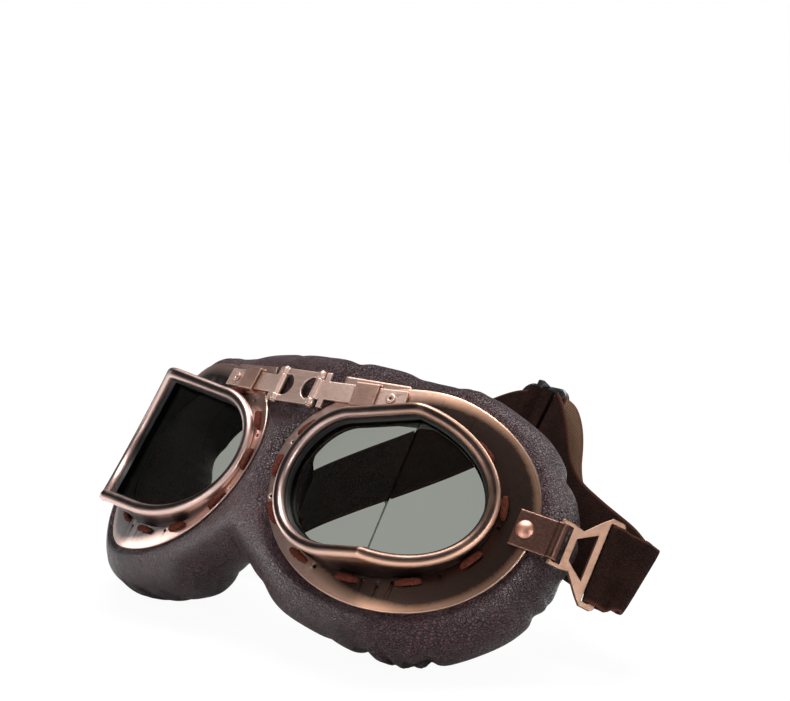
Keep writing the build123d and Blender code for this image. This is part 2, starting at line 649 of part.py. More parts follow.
def strap_run(shares, sheet, start=None):
    """Strap through its stations, with its run turned evenly at each."""
    points = [Vector(x * STRAP_SIDE, y * STRAP_BEHIND, z * STRAP_HIGH) for x, y, z, *_ in shares]
    if start is not None:
        points = [start] + points
        shares = [(0, 0, 0, 0, 0, 1)] + shares
    last = len(points) - 1
    sections = []
    for i, (point, share) in enumerate(zip(points, shares)):
        ahead = points[min(i + 1, last)] - point
        behind = point - points[max(i - 1, 0)]
        ahead = ahead.normalized() if i < last else behind.normalized()
        behind = behind.normalized() if i > 0 else ahead
        edge = Vector(*share[3:]).normalized()
        run = ahead + behind
        run = (run - edge * run.dot(edge)).normalized()
        sections.append(Plane(origin=point, x_dir=edge, z_dir=run) * Rectangle(STRAP_WIDTH, sheet))
    return loft(sections, ruled=True)


def adjuster_place():
    """Frame of the adjuster: X along the strap, Y to the back, Z across it."""
    x = OUTER_SHARES[-1][0] * STRAP_SIDE - ADJUSTER_GAP - ADJUSTER_LENGTH / 2
    y, z = ADJUSTER_SHARES
    return Pos(x, y * STRAP_BEHIND, z * STRAP_HIGH) * Rot(0, -ADJUSTER_SLOPE_DEG, 0)


def make_adjuster():
    """Slider: an open frame on the strap's outer face and a bar on its inner face, joined by posts."""
    side = (STRAP_SHEET + ADJUSTER_SHEET) / 2 + FIT
    rail = (ADJUSTER_HEIGHT - STRAP_WIDTH) / 2 - CLEAR
    frame = Box(ADJUSTER_LENGTH, ADJUSTER_SHEET, ADJUSTER_HEIGHT)
    frame = fillet(frame.edges().filter_by(Axis.Y), ADJUSTER_CORNER)
    window = Box(ADJUSTER_LENGTH - 2 * ADJUSTER_BAR, 2 * ADJUSTER_SHEET, ADJUSTER_HEIGHT - 2 * rail)
    frame -= fillet(window.edges().filter_by(Axis.Y), rail / 2)
    body = Pos(0, side, 0) * frame
    body += Pos(0, -side, 0) * Box(ADJUSTER_BAR, ADJUSTER_SHEET, ADJUSTER_HEIGHT)
    for up in (-1, 1):
        post = Box(ADJUSTER_BAR, 2 * side, rail)
        body += Pos(0, 0, up * (ADJUSTER_HEIGHT - rail) / 2) * post
    return adjuster_place() * body


def make_strap_loop():
    """Sewn end of the strap round the adjuster's middle bar."""
    side = (STRAP_SHEET + ADJUSTER_SHEET) / 2 + FIT
    inner = hypot(ADJUSTER_BAR, ADJUSTER_SHEET) / 2 + FIT
    flat = ADJUSTER_SHEET / 2 + FIT
    sleeve = Cylinder(inner + STRAP_SHEET, STRAP_WIDTH) - Cylinder(inner, 2 * STRAP_WIDTH)
    reach = 4 * inner
    keep = Pos(0, -reach / 2 + flat, 0) * Box(reach, reach, 2 * STRAP_WIDTH)
    tail = Pos(inner + STRAP_SHEET / 2 + ADJUSTER_SLOT / 2, -inner / 2, 0) * Box(
        ADJUSTER_SLOT, STRAP_SHEET, STRAP_WIDTH)
    return adjuster_place() * Pos(0, -side, 0) * ((sleeve & keep) + tail)


STRAP_EYE_RADIUS = hypot(RING_BAR / 2, RING_SHEET / 2) + FIT
STRAP_TAIL_END = RING_LENGTH - RING_BAR / 2 + STRAP_EYE_RADIUS + STRAP_SHEET / 2 + RING_BAR


def strap_end():
    """Loop of the strap round the ring's outer bar and its first stretch."""
    bar_x = RING_LENGTH - RING_BAR / 2
    inner = STRAP_EYE_RADIUS
    outer = inner + STRAP_SHEET
    sleeve = Cylinder(outer, STRAP_WIDTH) - Cylinder(inner, 2 * STRAP_WIDTH)
    tail = Pos(inner + (STRAP_SHEET + RING_BAR) / 2 - STRAP_SHEET / 4, 0, 0) * Box(
        RING_BAR + STRAP_SHEET / 2, 2 * STRAP_SHEET + FIT, STRAP_WIDTH)
    return ring_place() * Pos(bar_x, 0, 0) * (sleeve + tail)


def strap_fold():
    """Doubled strap from its end at the ring round the fold beside the cushion."""
    start = (ring_place() * Pos(STRAP_TAIL_END + CLEAR, 0, 0)).position
    return strap_run(FOLD_SHARES, 2 * STRAP_SHEET + FIT, start)


# Cushion

OUTLINE_SHARES = [(-0.12, 0.97), (0.24, 1.0), (0.43, 0.976), (0.58, 0.996), (0.71, 0.90), (0.82, 0.79),
                  (0.905, 0.58), (0.97, 0.33), (0.998, 0.07), (0.98, -0.24), (0.925, -0.54), (0.83, -0.75),
                  (0.715, -0.90), (0.58, -0.99), (0.43, -0.98), (0.275, -0.945), (0.165, -0.835),
                  (0.075, -0.70), (-0.12, -0.48)]
# Depth of each layer as a share of the cushion's depth, how far it is drawn in, and how deep its folds are
LAYER_SHARES = [(0.0, 1.0, 0.1), (0.12, 0.52, 0.25), (0.28, 0.16, 0.5), (0.5, 0.0, 0.8), (0.72, 0.14, 1.1),
                (0.88, 0.45, 1.6), (1.0, 1.0, 1.6)]


def cushion_place():
    """Frame of a cushion half: X out, Y to the back, square to the plate's mean direction."""
    return Pos(PLATE_BEND_X, PLATE_BEND_Y, 0) * Rot(0, 0, CUSHION_TURN_DEG)


def cushion_layer(depth, drawn_in, fold):
    """Closed outline of arcs at one depth: scalloped between fold valleys."""
    turn = radians(CUSHION_TURN_DEG)
    points = []
    for sx, sz in OUTLINE_SHARES:
        x = (sx * CUSHION_REACH - PLATE_BEND_X + CUSHION_WIDEST * sin(turn)) / cos(turn)
        z = sz * (CUSHION_TOP if sz > 0 else CUSHION_DROP)
        size = hypot(x, z)
        points.append((x * (1 - drawn_in / size), z * (1 - drawn_in / size)))
    arcs = []
    for a, b in zip(points, points[1:]):
        middle = ((a[0] + b[0]) / 2, (a[1] + b[1]) / 2)
        size = hypot(*middle)
        bulge = CUSHION_FOLD * (0.6 + fold)
        arcs.append(ThreePointArc(a, (middle[0] * (1 + bulge / size), middle[1] * (1 + bulge / size)), b))
    arcs.append(Line(points[-1], points[0]))
    return Plane(origin=(0, depth, 0), x_dir=(1, 0, 0), z_dir=(0, -1, 0)) * make_face(arcs)


def cushion_form(inset):
    """Crowned half cushion, solid, drawn in all over by inset."""
    layers = []
    for depth_share, edge_share, fold in LAYER_SHARES:
        depth = inset + depth_share * (CUSHION_DEPTH - 2 * inset)
        layers.append(cushion_layer(depth, edge_share * CUSHION_EDGE + inset, fold))
    front = cushion_layer(-CUSHION_DEPTH / 3, CUSHION_EDGE + inset, LAYER_SHARES[0][2])
    return cushion_place() * loft([front] + layers, ruled=True)


def eye_tunnel(grown):
    """Open space behind the lens, through the cushion."""
    face = egg((TUNNEL_X, RIM_MIDDLE_Z), TUNNEL_NOSE + grown, TUNNEL_TEMPLE + grown,
               TUNNEL_TOP + grown, TUNNEL_BOTTOM + grown)
    return cushion_place() * from_front(face)


def clip_room(grown):
    """Pocket in the cushion for the clip's back leaf, its eye and the rivet's tail."""
    depth = 2 * CLIP_SHEET + RIVET_DOME + grown
    width = 2 * CLIP_LENGTH + grown
    return clip_place() * Pos(CLIP_START - grown - CLEAR + width / 2, depth / 2, 0) * Box(
        width, depth, CLIP_HEIGHT + 2 * CLEAR + 2 * grown)


def outer_side(x):
    """Everything on the outer side of an upright plane."""
    reach = 4 * OVERRUN
    return Pos(x + reach / 2, 0, 0) * Box(reach, reach, reach)


def make_cushion(rim_hole):
    """Leather half with a hollow for its foam, and the foam."""
    cuts = between(-OVERRUN, PLATE_SHEET + CLEAR) + rim_hole
    whole = cushion_form(0.0) & outer_side(HINGE_X + CLEAR)
    whole = whole - eye_tunnel(0) - cuts - clip_room(0)
    hollow = cushion_form(LEATHER) & outer_side(HINGE_X + CLEAR + LEATHER)
    hollow = hollow - eye_tunnel(LEATHER) - between(-OVERRUN, PLATE_SHEET + CLEAR + LEATHER) - clip_room(LEATHER)
    return whole - hollow, hollow


def make_bridge_pad():
    """Leather wedge between the halves, crowned, narrow at the back so that they can fold."""
    front = PIN_Y + KNUCKLE_RADIUS + CLEAR
    back = plate_y(0) + BRIDGE_PAD_BACK
    half = HINGE_X - BRIDGE_PAD_GAP
    sections = []
    shares = [(-0.60, 0.72), (-0.45, 0.92), (0.2, 1.0), (0.85, 0.92), (0.97, 0.72)]
    for z_share, size in shares:
        z = z_share * CUSHION_TOP
        middle = (front + back) / 2
        f = middle - (middle - front) * size
        b = middle + (back - middle) * size
        crown = ThreePointArc((-half, f + BRIDGE_PAD_CROWN), (0, f), (half, f + BRIDGE_PAD_CROWN))
        sides = [Line((half, f + BRIDGE_PAD_CROWN), (BRIDGE_PAD_BACK_HALF, b)),
                 Line((BRIDGE_PAD_BACK_HALF, b), (-BRIDGE_PAD_BACK_HALF, b)),
                 Line((-BRIDGE_PAD_BACK_HALF, b), (-half, f + BRIDGE_PAD_CROWN))]
        sections.append(Pos(0, 0, z) * make_face([crown] + sides))
    return loft(sections, ruled=True)


# Assembly

def main():
    """Build every piece, lean the goggles back, stand them on the table and write the files."""
    worn = {}

    def both(name, shape):
        worn[name + "_right"] = shape
        if isinstance(shape, list):
            worn[name + "_right"] = Compound(shape)
            worn[name + "_left"] = Compound([mirror(one, about=Plane.YZ) for one in shape])
        else:
            worn[name + "_left"] = mirror(shape, about=Plane.YZ)

    plate_front = between(-OVERRUN, PLATE_SHEET)
    rim_through = seat(block(RIM_INSET, 0, OVERRUN / 2) + block(-FIT, 0, BEAD_DEPTH + FIT))
    both("frame_plate", make_plate(rim_through) - rivet_cut())
    both("rim", make_rim(plate_front))
    both("lens_gasket", make_gasket())
    front_lens, side_lens = make_lenses()
    both("front_lens", front_lens)
    both("side_lens", side_lens)
    both("lace", make_lace())
    both("nose_arm", make_arm())
    both("arm_eyelet", make_eyelet())
    both("arm_keeper", make_keeper())
    both("hinge_pin", make_pin())
    worn["bridge_link"] = make_link()
    both("temple_clip", make_clip())
    both("clip_rivet", make_rivet())
    both("strap_ring", make_ring())
    leather, foam = make_cushion(seat(block(RIM_INSET - CLEAR, 0, RIM_DEPTH + CLEAR)))
    both("cushion", leather)
    both("foam", foam)
    worn["cushion_bridge"] = make_bridge_pad()
    both("strap_end", strap_end())
    both("strap_fold", strap_fold())
    worn["strap_inner"] = strap_run(INNER_SHARES, STRAP_SHEET)
    worn["strap_outer"] = strap_run(OUTER_SHARES, STRAP_SHEET)
    worn["strap_rear"] = strap_run(REAR_SHARES, STRAP_SHEET)
    worn["strap_adjuster"] = make_adjuster()
    worn["strap_loop"] = make_strap_loop()

    for name, shape in worn.items():
        print(name, round(shape.volume, 1), len(shape.solids()))

    leaned = {name: Rot(-LEAN_DEG, 0, 0) * shape for name, shape in worn.items()}
    floor = min(leaned[name].bounding_box().min.Z for name in ("cushion_left", "cushion_right")) + FLOOR_CUT
    box = Compound(list(leaned.values())).bounding_box()
    stand = Pos(0, -(box.min.Y + box.max.Y) / 2, -floor)
    for label, spot in (("origin", (0, 0, 0)), ("nose hinge", (HINGE_X, PIN_Y, BRIDGE_Z)),
                        ("ring hinge", tuple(ring_place().position)), ("slider", tuple(adjuster_place().position))):
        point = stand * Rot(-LEAN_DEG, 0, 0) * Pos(*spot)
        print(label, [round(v, 3) for v in point.position])
    slab = Pos(0, 0, -OVERRUN) * Box(8 * OVERRUN, 8 * OVERRUN, 2 * OVERRUN)
    os.makedirs("parts", exist_ok=True)
    for name, shape in leaned.items():
        placed = stand * shape
        if name.startswith("cushion") or name == "strap_rear":
            placed = placed - slab
            print(name, "lowest", round(placed.bounding_box().min.Z, 3))
        export_step(placed, "parts/" + name + ".step")


main()
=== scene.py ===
import json

import bpy
import numpy as np
from mathutils import Matrix, Vector


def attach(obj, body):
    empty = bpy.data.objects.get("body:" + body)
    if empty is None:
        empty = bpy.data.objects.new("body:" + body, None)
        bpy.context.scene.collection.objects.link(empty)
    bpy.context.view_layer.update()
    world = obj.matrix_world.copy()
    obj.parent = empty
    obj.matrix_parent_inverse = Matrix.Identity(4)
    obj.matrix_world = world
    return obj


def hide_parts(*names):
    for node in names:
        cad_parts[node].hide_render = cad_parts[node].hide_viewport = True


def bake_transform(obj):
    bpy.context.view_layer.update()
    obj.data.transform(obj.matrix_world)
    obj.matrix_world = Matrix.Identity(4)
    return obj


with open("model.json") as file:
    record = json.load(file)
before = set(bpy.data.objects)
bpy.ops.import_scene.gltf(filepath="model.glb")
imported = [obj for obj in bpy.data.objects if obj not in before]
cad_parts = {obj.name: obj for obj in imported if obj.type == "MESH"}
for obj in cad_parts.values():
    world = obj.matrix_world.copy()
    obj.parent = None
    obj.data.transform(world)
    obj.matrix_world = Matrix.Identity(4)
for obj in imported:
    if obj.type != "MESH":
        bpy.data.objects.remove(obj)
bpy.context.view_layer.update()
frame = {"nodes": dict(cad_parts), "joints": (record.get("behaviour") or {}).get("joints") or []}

# Stance
# The goggles lie on the lower edge of their cushion, leaned back from the way they are worn.
# Shapes are worked out as worn, in millimetres: x to the right of the picture, y to the face, z up.
LEAN = np.radians(36.0)
NOSE_PIN = (8.4, 5.0, 27.9)
nose_joint = next(j for j in frame["joints"] if j["name"] == "eye_fold_right")


def leaned(points):
    """Turns worn points about X by the lean."""
    points = np.asarray(points, float)
    x, y, z = points[..., 0], points[..., 1], points[..., 2]
    return np.stack([x, y * np.cos(LEAN) + z * np.sin(LEAN), z * np.cos(LEAN) - y * np.sin(LEAN)], -1)


stand = np.array(nose_joint["pos_m"]) - leaned(NOSE_PIN) / 1000


def placed(points):
    """Worn millimetres to metres on the table."""
    return leaned(points) / 1000 + stand


# Studio
# A pale floor that runs to the horizon, a pale sky, and large soft lamps.
# The camera stands low at the right of the goggles, where the photograph was taken.
CAMERA_AT = (416.8, -368.77, -138.36)
CAMERA_RIGHT = (0.73095, 0.55208, 0.40115)
CAMERA_UP = (-0.08605, -0.50856, 0.85671)
CAMERA_SENSOR = 36.0
CAMERA_LENS = 81.36
CAMERA_NEAR = 0.01
camera_data = bpy.data.cameras.new("camera")
camera_data.sensor_width = CAMERA_SENSOR
camera_data.lens = CAMERA_LENS
camera_data.clip_start = CAMERA_NEAR
camera = bpy.data.objects.new("camera", camera_data)
bpy.context.scene.collection.objects.link(camera)
right_way = leaned(CAMERA_RIGHT)
up_way = leaned(CAMERA_UP)
up_way = up_way - right_way * (up_way @ right_way) / (right_way @ right_way)
turn = Matrix((right_way, up_way, np.cross(right_way, up_way))).transposed().to_4x4()
camera.matrix_world = Matrix.Translation(placed(CAMERA_AT)) @ turn.to_quaternion().to_matrix().to_4x4()
bpy.context.scene.camera = camera
bpy.context.scene.view_settings.view_transform = "Standard"


def node_maker(material):
    """Returns a function that adds a node with its settings and input links or values."""
    tree = material.node_tree

    def add(kind, inputs=None, **settings):
        node = tree.nodes.new(kind)
        for name, value in settings.items():
            setattr(node, name, value)
        for name, value in (inputs or {}).items():
            if isinstance(value, bpy.types.NodeSocket):
                tree.links.new(value, node.inputs[name])
            else:
                node.inputs[name].default_value = value
        return node

    return add


def blank(name):
    """New material with its nodes cleared, and its node maker."""
    material = bpy.data.materials.new(name)
    material.use_nodes = True
    material.node_tree.nodes.clear()
    return material, node_maker(material)


def calc(add, kind, first, second=0.0):
    """Output of one sum on two values."""
    return add("ShaderNodeMath", {0: first, 1: second}, operation=kind).outputs[0]


def ramp(add, value, stops):
    """Output colour of a ramp through its stops, each a place and a colour."""
    node = add("ShaderNodeValToRGB", {0: value})
    elements = node.color_ramp.elements
    while len(elements) < len(stops):
        elements.new(0.5)
    for element, (spot, colour) in zip(elements, stops):
        element.position = spot
        element.color = (*colour, 1)
    return node.outputs[0]


def greys(stops):
    """Ramp stops of grey, from a place and a value each."""
    return [(spot, (value, value, value)) for spot, value in stops]


def own_place(add):
    """Output of the object's own coordinates."""
    return add("ShaderNodeTexCoord").outputs["Object"]


def span(add, value, low, high, to_low, to_high):
    """Output of a value mapped from one range to another, and held at its ends."""
    return add("ShaderNodeMapRange", {"Value": value, 1: low, 2: high, 3: to_low, 4: to_high}).outputs[0]


def noise(add, place, scale, detail, roughness=0.5):
    """Output of a noise over a place."""
    inputs = {"Vector": place, "Scale": scale, "Detail": detail, "Roughness": roughness}
    return add("ShaderNodeTexNoise", inputs).outputs[0]


def mixed(add, share, first, second, way="MIX"):
    """Output colour between two, each given as red, green and blue or as an output."""
    pair = [item if isinstance(item, bpy.types.NodeSocket) else (*item, 1) for item in (first, second)]
    node = add("ShaderNodeMix", {0: share, 6: pair[0], 7: pair[1]}, data_type="RGBA", blend_type=way)
    return node.outputs[2]


def bumped(add, height, strength, distance, normal=None):
    """Output normal of a bump, over the surface's own normal or another one."""
    inputs = {"Height": height, "Strength": strength, "Distance": distance}
    if normal:
        inputs["Normal"] = normal
    return add("ShaderNodeBump", inputs).outputs[0]


def surface(add, inputs):
    """Ends a material with one principled surface."""
    shader = add("ShaderNodeBsdfPrincipled", inputs)
    add("ShaderNodeOutputMaterial", {"Surface": shader.outputs[0]})


def seen_directly(add):
    """Output that is 1 for what the camera sees, also through a lens."""
    path = add("ShaderNodeLightPath")
    return calc(add, "MAXIMUM", path.outputs["Is Camera Ray"], path.outputs["Is Transmission Ray"])


# Floor: it keeps the goggles' soft shadow, and far from them it is as white as the sky
FLOOR_REACH = 6.0
FLOOR_Z = -0.0002
FLOOR_GREY = (0.84, 0.84, 0.84, 1)
GLOW_NEAR, GLOW_FAR = 0.2, 0.42
GLOW_LEAST = 0.93
GLOW_STRENGTH = 1.02
WHITE = (1, 1, 1, 1)
floor_mesh = bpy.data.meshes.new("floor")
corners = np.array([(-1, -1), (1, -1), (1, 1), (-1, 1)]) * FLOOR_REACH
floor_mesh.from_pydata([(x, y, FLOOR_Z) for x, y in corners], [], [(0, 1, 2, 3)])
floor = bpy.data.objects.new("floor", floor_mesh)
bpy.context.scene.collection.objects.link(floor)
floor_material, add = blank("floor_white")
away = add("ShaderNodeVectorMath", {0: own_place(add)}, operation="LENGTH")
glow = span(add, away.outputs["Value"], GLOW_NEAR, GLOW_FAR, GLOW_LEAST, 1.0)
diffuse = add("ShaderNodeBsdfDiffuse", {"Color": FLOOR_GREY})
light = add("ShaderNodeEmission", {"Color": WHITE, "Strength": GLOW_STRENGTH})
glowing = calc(add, "MULTIPLY", seen_directly(add), glow)
mix = add("ShaderNodeMixShader", {0: glowing, 1: diffuse.outputs[0], 2: light.outputs[0]})
add("ShaderNodeOutputMaterial", {"Surface": mix.outputs[0]})
floor_mesh.materials.append(floor_material)

# Sky: white where it is seen, and otherwise dark at half height, which flat metal and lenses mirror
SKY_TONES = [(0.0, 0.3), (0.16, 0.18), (0.34, 0.02), (0.74, 0.04), (0.88, 0.6), (1.0, 1.0)]
SKY_STRENGTH = 0.9
world = bpy.data.worlds.new("studio")
bpy.context.scene.world = world
world.use_nodes = True
world.node_tree.nodes.clear()
add = node_maker(world)
sky_parts = add("ShaderNodeSeparateXYZ", {0: add("ShaderNodeTexCoord").outputs["Generated"]})
sky_tone = ramp(add, sky_parts.outputs["Z"], greys(SKY_TONES))
sky_light = add("ShaderNodeBackground", {"Color": sky_tone, "Strength": SKY_STRENGTH})
sky_white = add("ShaderNodeBackground", {"Color": WHITE, "Strength": 1.0})
sky_seen = seen_directly(add)
sky_mix = add("ShaderNodeMixShader", {0: sky_seen, 1: sky_light.outputs[0], 2: sky_white.outputs[0]})
add("ShaderNodeOutputWorld", {"Surface": sky_mix.outputs[0]})

# Lamps: each one's place, its width and height, and its watts. All face the goggles.
LAMP_AIM = (0, 0, 0.04)
LAMPS = {
    "lamp_above": ((-0.1, 0.15, 1.1), (0.8, 0.45), 14.0),
    "lamp_behind": ((0.15, 0.95, 0.55), (1.0, 0.35), 4.5),
    "lamp_left": ((-1.15, -0.25, 0.2), (0.3, 0.35), 2.4),
    "lamp_front": ((0.1, -1.25, 0.1), (0.5, 0.16), 2.2),
    "lamp_high_front": ((0.1, -1.05, 0.72), (0.6, 0.25), 1.7),
    "lamp_right": ((1.15, -0.2, 0.3), (0.3, 0.5), 3.6),
}
for name, (spot, size, watts) in LAMPS.items():
    lamp_data = bpy.data.lights.new(name, "AREA")
    lamp_data.shape = "RECTANGLE"
    lamp_data.size, lamp_data.size_y = size
    lamp_data.energy = watts
    lamp = bpy.data.objects.new(name, lamp_data)
    lamp.location = spot
    lamp.rotation_euler = (Vector(LAMP_AIM) - Vector(spot)).to_track_quat("-Z", "Y").to_euler()
    bpy.context.scene.collection.objects.link(lamp)

# Rims
# Each rim is a spun copper bead on a straight wall that stands on the plate.
# It follows two flat panes, and it is bent round where they meet over the outer third of the eye.
EYE_X = 59.5
RIM_FORWARD = 0.5
SPLAY = np.radians(2.4)
NOSE_TURN = np.radians(-4.8)
TEMPLE_TURN = np.radians(38.5)
RIM_MIDDLE_Z = 2.0
RIM_TOP = 27.0
RIM_BOTTOM = 25.4
RIM_NOSE = 50.7
RIM_TEMPLE = 34.4
RIM_TOP_FLAT = 28.0
RIM_TOP_DROP = 2.5
RIM_BOTTOM_FLAT = 17.0
RIM_BOTTOM_SAG = 0.7
PLATE_BEND = (58.0, 16.0)
PLATE_NOSE_SLOPE = np.tan(np.radians(11.5))
PLATE_TEMPLE_SLOPE = np.tan(np.radians(24.5))
FOOT_GUESS = 3.0
FOOT_STEPS = 8
PROBE = 10.0
TEMPLE_STEPS, FLAT_STEPS, CORNER_STEPS = 72, 18, 48


def plate_y(x):
    """Front of the plate: two slopes that meet at the bend."""
    run = x - PLATE_BEND[0]
    return PLATE_BEND[1] + np.where(run < 0, run * PLATE_NOSE_SLOPE, run * PLATE_TEMPLE_SLOPE)


def rim_path(inset, depth):
    """Points along the rim, drawn in by inset and set back by depth, clockwise from the crease's top.

    The temple pane is two quarter ellipses. The nose pane is a straight run, two quarter ellipses and
    a second straight run. Every run starts on the crease's mitre plane, u = depth * tan(half the bend).
    """
    mitre = depth * np.tan((TEMPLE_TURN - NOSE_TURN) / 2)
    top = RIM_TOP - inset
    bottom = RIM_BOTTOM - inset
    reach = RIM_TEMPLE - inset
    first = np.arccos(np.clip(mitre / reach, -1, 1))
    angle = np.linspace(first, -first, TEMPLE_STEPS)
    temple_u = reach * np.cos(angle)
    temple_v = RIM_MIDDLE_Z + np.where(angle > 0, top - RIM_MIDDLE_Z, bottom + RIM_MIDDLE_Z) * np.sin(angle)
    share = np.linspace(0, 1, FLAT_STEPS, endpoint=False)
    low = bottom + RIM_BOTTOM_SAG
    side = RIM_NOSE - inset
    shoulder = top - RIM_TOP_DROP
    under_u = -mitre * (1 - share) - RIM_BOTTOM_FLAT * share
    under_v = -bottom + (low - bottom) * under_u / RIM_BOTTOM_FLAT
    angle = np.linspace(1.5 * np.pi, np.pi, CORNER_STEPS, endpoint=False)
    lower_u = -RIM_BOTTOM_FLAT + (side - RIM_BOTTOM_FLAT) * np.cos(angle)
    lower_v = RIM_MIDDLE_Z + (RIM_MIDDLE_Z + low) * np.sin(angle)
    angle = np.linspace(np.pi, 0.5 * np.pi, CORNER_STEPS, endpoint=False)
    upper_u = -RIM_TOP_FLAT + (side - RIM_TOP_FLAT) * np.cos(angle)
    upper_v = RIM_MIDDLE_Z + (shoulder - RIM_MIDDLE_Z) * np.sin(angle)
    share = np.linspace(1, 0, FLAT_STEPS + 1)
    over_u = -mitre * (1 - share) - RIM_TOP_FLAT * share
    over_v = top + RIM_TOP_DROP * over_u / RIM_TOP_FLAT
    nose_u = np.concatenate([under_u, lower_u, upper_u, over_u])
    nose_v = np.concatenate([under_v, lower_v, upper_v, over_v])
    u = np.concatenate([temple_u, nose_u])
    v = np.concatenate([temple_v, nose_v])
    turn_of = np.concatenate([np.full(temple_u.shape, TEMPLE_TURN), np.full(nose_u.shape, NOSE_TURN)])
    x = u * np.cos(turn_of) - depth * np.sin(turn_of)
    y = u * np.sin(turn_of) + depth * np.cos(turn_of) - RIM_FORWARD
    splayed_x = EYE_X + x * np.cos(SPLAY) - v * np.sin(SPLAY)
    return np.stack([splayed_x, y, v * np.cos(SPLAY) + x * np.sin(SPLAY)], -1)


def rim_line(inset):
    """Lines that run back from the rim's front: where they start, and their way per millimetre of depth."""
    near = rim_path(inset, 0.0)
    return near, (rim_path(inset, PROBE) - near) / PROBE


def foot_depth(inset):
    """Depth at which the rim's lines meet the plate, closed in on step by step."""
    near, way = rim_line(inset)
    depth = np.full(len(near), FOOT_GUESS)
    for _ in range(FOOT_STEPS):
        spot = near + way * depth[:, None]
        depth = depth + (plate_y(spot[:, 0]) - spot[:, 1]) / way[:, 1]
    return depth


def sheet_mesh(name, grid, closed_along=False, closed_across=False, uv=None):
    """Mesh of quads on a grid of points, wound to hold a positive volume, with its UV map if given."""
    rows, columns = grid.shape[:2]
    index = np.arange(rows * columns).reshape(rows, columns)
    down = np.roll(index, -1, 0) if closed_along else index[1:]
    here = index if closed_along else index[:-1]
    if closed_across:
        quads = np.stack([here, down, np.roll(down, -1, 1), np.roll(here, -1, 1)], -1)
    else:
        quads = np.stack([here[:, :-1], down[:, :-1], down[:, 1:], here[:, 1:]], -1)
    quads = quads.reshape(-1, 4)
    spots = grid.reshape(-1, 3) - grid.reshape(-1, 3).mean(0)
    a, b, c, d = (spots[quads[:, i]] for i in range(4))
    if (np.cross(b - a, c - a) * a).sum() + (np.cross(c - a, d - a) * a).sum() < 0:
        quads = quads[:, ::-1]
    mesh = bpy.data.meshes.new(name)
    mesh.from_pydata(grid.reshape(-1, 3).tolist(), [], quads.tolist())
    mesh.shade_smooth()
    if uv is not None:
        layer = mesh.uv_layers.new(name="along")
        corner = np.zeros(len(mesh.loops), np.int32)
        mesh.loops.foreach_get("vertex_index", corner)
        values = uv.reshape(-1, 2)[corner]
        layer.data.foreach_set("uv", values.astype(np.float32).ravel())
    return mesh


def joined(name, parts):
    """One mesh of several, which are removed, with their UV maps where they have them."""
    vertices, faces, values = [], [], []
    for part in parts:
        faces += [[v + len(vertices) for v in p.vertices] for p in part.polygons]
        vertices += [v.co.copy() for v in part.vertices]
        values += [tuple(item.uv) for layer in part.uv_layers for item in layer.data]
    for part in parts:
        bpy.data.meshes.remove(part)
    mesh = bpy.data.meshes.new(name)
    mesh.from_pydata(vertices, [], faces)
    mesh.shade_smooth()
    if values:
        mesh.uv_layers.new(name="along").data.foreach_set("uv", np.array(values, np.float32).ravel())
    return mesh


def piece(name, mesh, material):
    """New object on a mesh, with its material."""
    obj = bpy.data.objects.new(name, mesh)
    bpy.context.scene.collection.objects.link(obj)
    mesh.materials.append(material)
    return obj


def mirrored(grid, side):
    """The grid for a side: 1 keeps it and -1 swaps it across the nose."""
    return grid * np.array([side, 1, 1])


def signed_power(value, power):
    """Power of a value's size, with the value's sign."""
    return np.sign(value) * np.abs(value) ** power


# Four numbers in one name are a range's start and end, and what they become
# Painted sheen: the copper is paled to a silvery tone on the nose side of the right eye and all over the left
# eye
PAINTED_SHEEN_FADE = (20.0, 60.0, 0.5, 0.0)


def worn_place(add):
    """Worn millimetres from the object's own place, with the lean turned back and x the same for both eyes.

    It gives x, z and the share of a painted sheen, a paler silvery tone, which fades across the right eye.
    """
    upright = np.array([[np.cos(LEAN), -np.sin(LEAN)], [np.sin(LEAN), np.cos(LEAN)]])
    back = (-stand[0] * 1000, *(-1000 * upright @ stand[1:]))
    turned = add("ShaderNodeMapping", {"Vector": own_place(add), "Location": back, "Rotation": (LEAN, 0, 0),
                                       "Scale": (1000, 1000, 1000)})
    parts = add("ShaderNodeSeparateXYZ", {0: turned.outputs[0]})
    painted_sheen = span(add, parts.outputs["X"], *PAINTED_SHEEN_FADE)
    return calc(add, "ABSOLUTE", parts.outputs["X"]), parts.outputs["Z"], painted_sheen


COPPER = (0.82, 0.45, 0.29)
COPPER_BRIGHT = (0.98, 0.70, 0.57)
COPPER_DARK = (0.014, 0.011, 0.012)
# The colour of the painted sheen
COPPER_PAINTED_SHEEN = (0.76, 0.62, 0.62)
TONE_STOPS = (0.3, 0.5, 0.72)
TONE_LOW = 0.7
TONE_MILD = (0.6, 0.4)
STREAK_RAGGED = 0.5
# How far patina darkens the copper; on rims and plates the share also carries painted shade
PATINA_AND_SHADE_COVER = (0.12, 0.9, 0.0, 0.96)
# Sharp edges: wear rubs them bright, and a painted highlight lies on them as well
EDGE_WEAR_AND_HIGHLIGHT = (0.985, 0.86, 0.0, 0.8)
SMOOTHER, ROUGHER = 0.08, 0.1
RELIEF_HEIGHT = 0.00055
STREAK_STRENGTH, STREAK_HEIGHT = 0.04, 0.0002


def about_half(add, value, by):
    """Output of how far a value lies from a half, times a factor."""
    return calc(add, "MULTIPLY", calc(add, "SUBTRACT", value, 0.5), by)


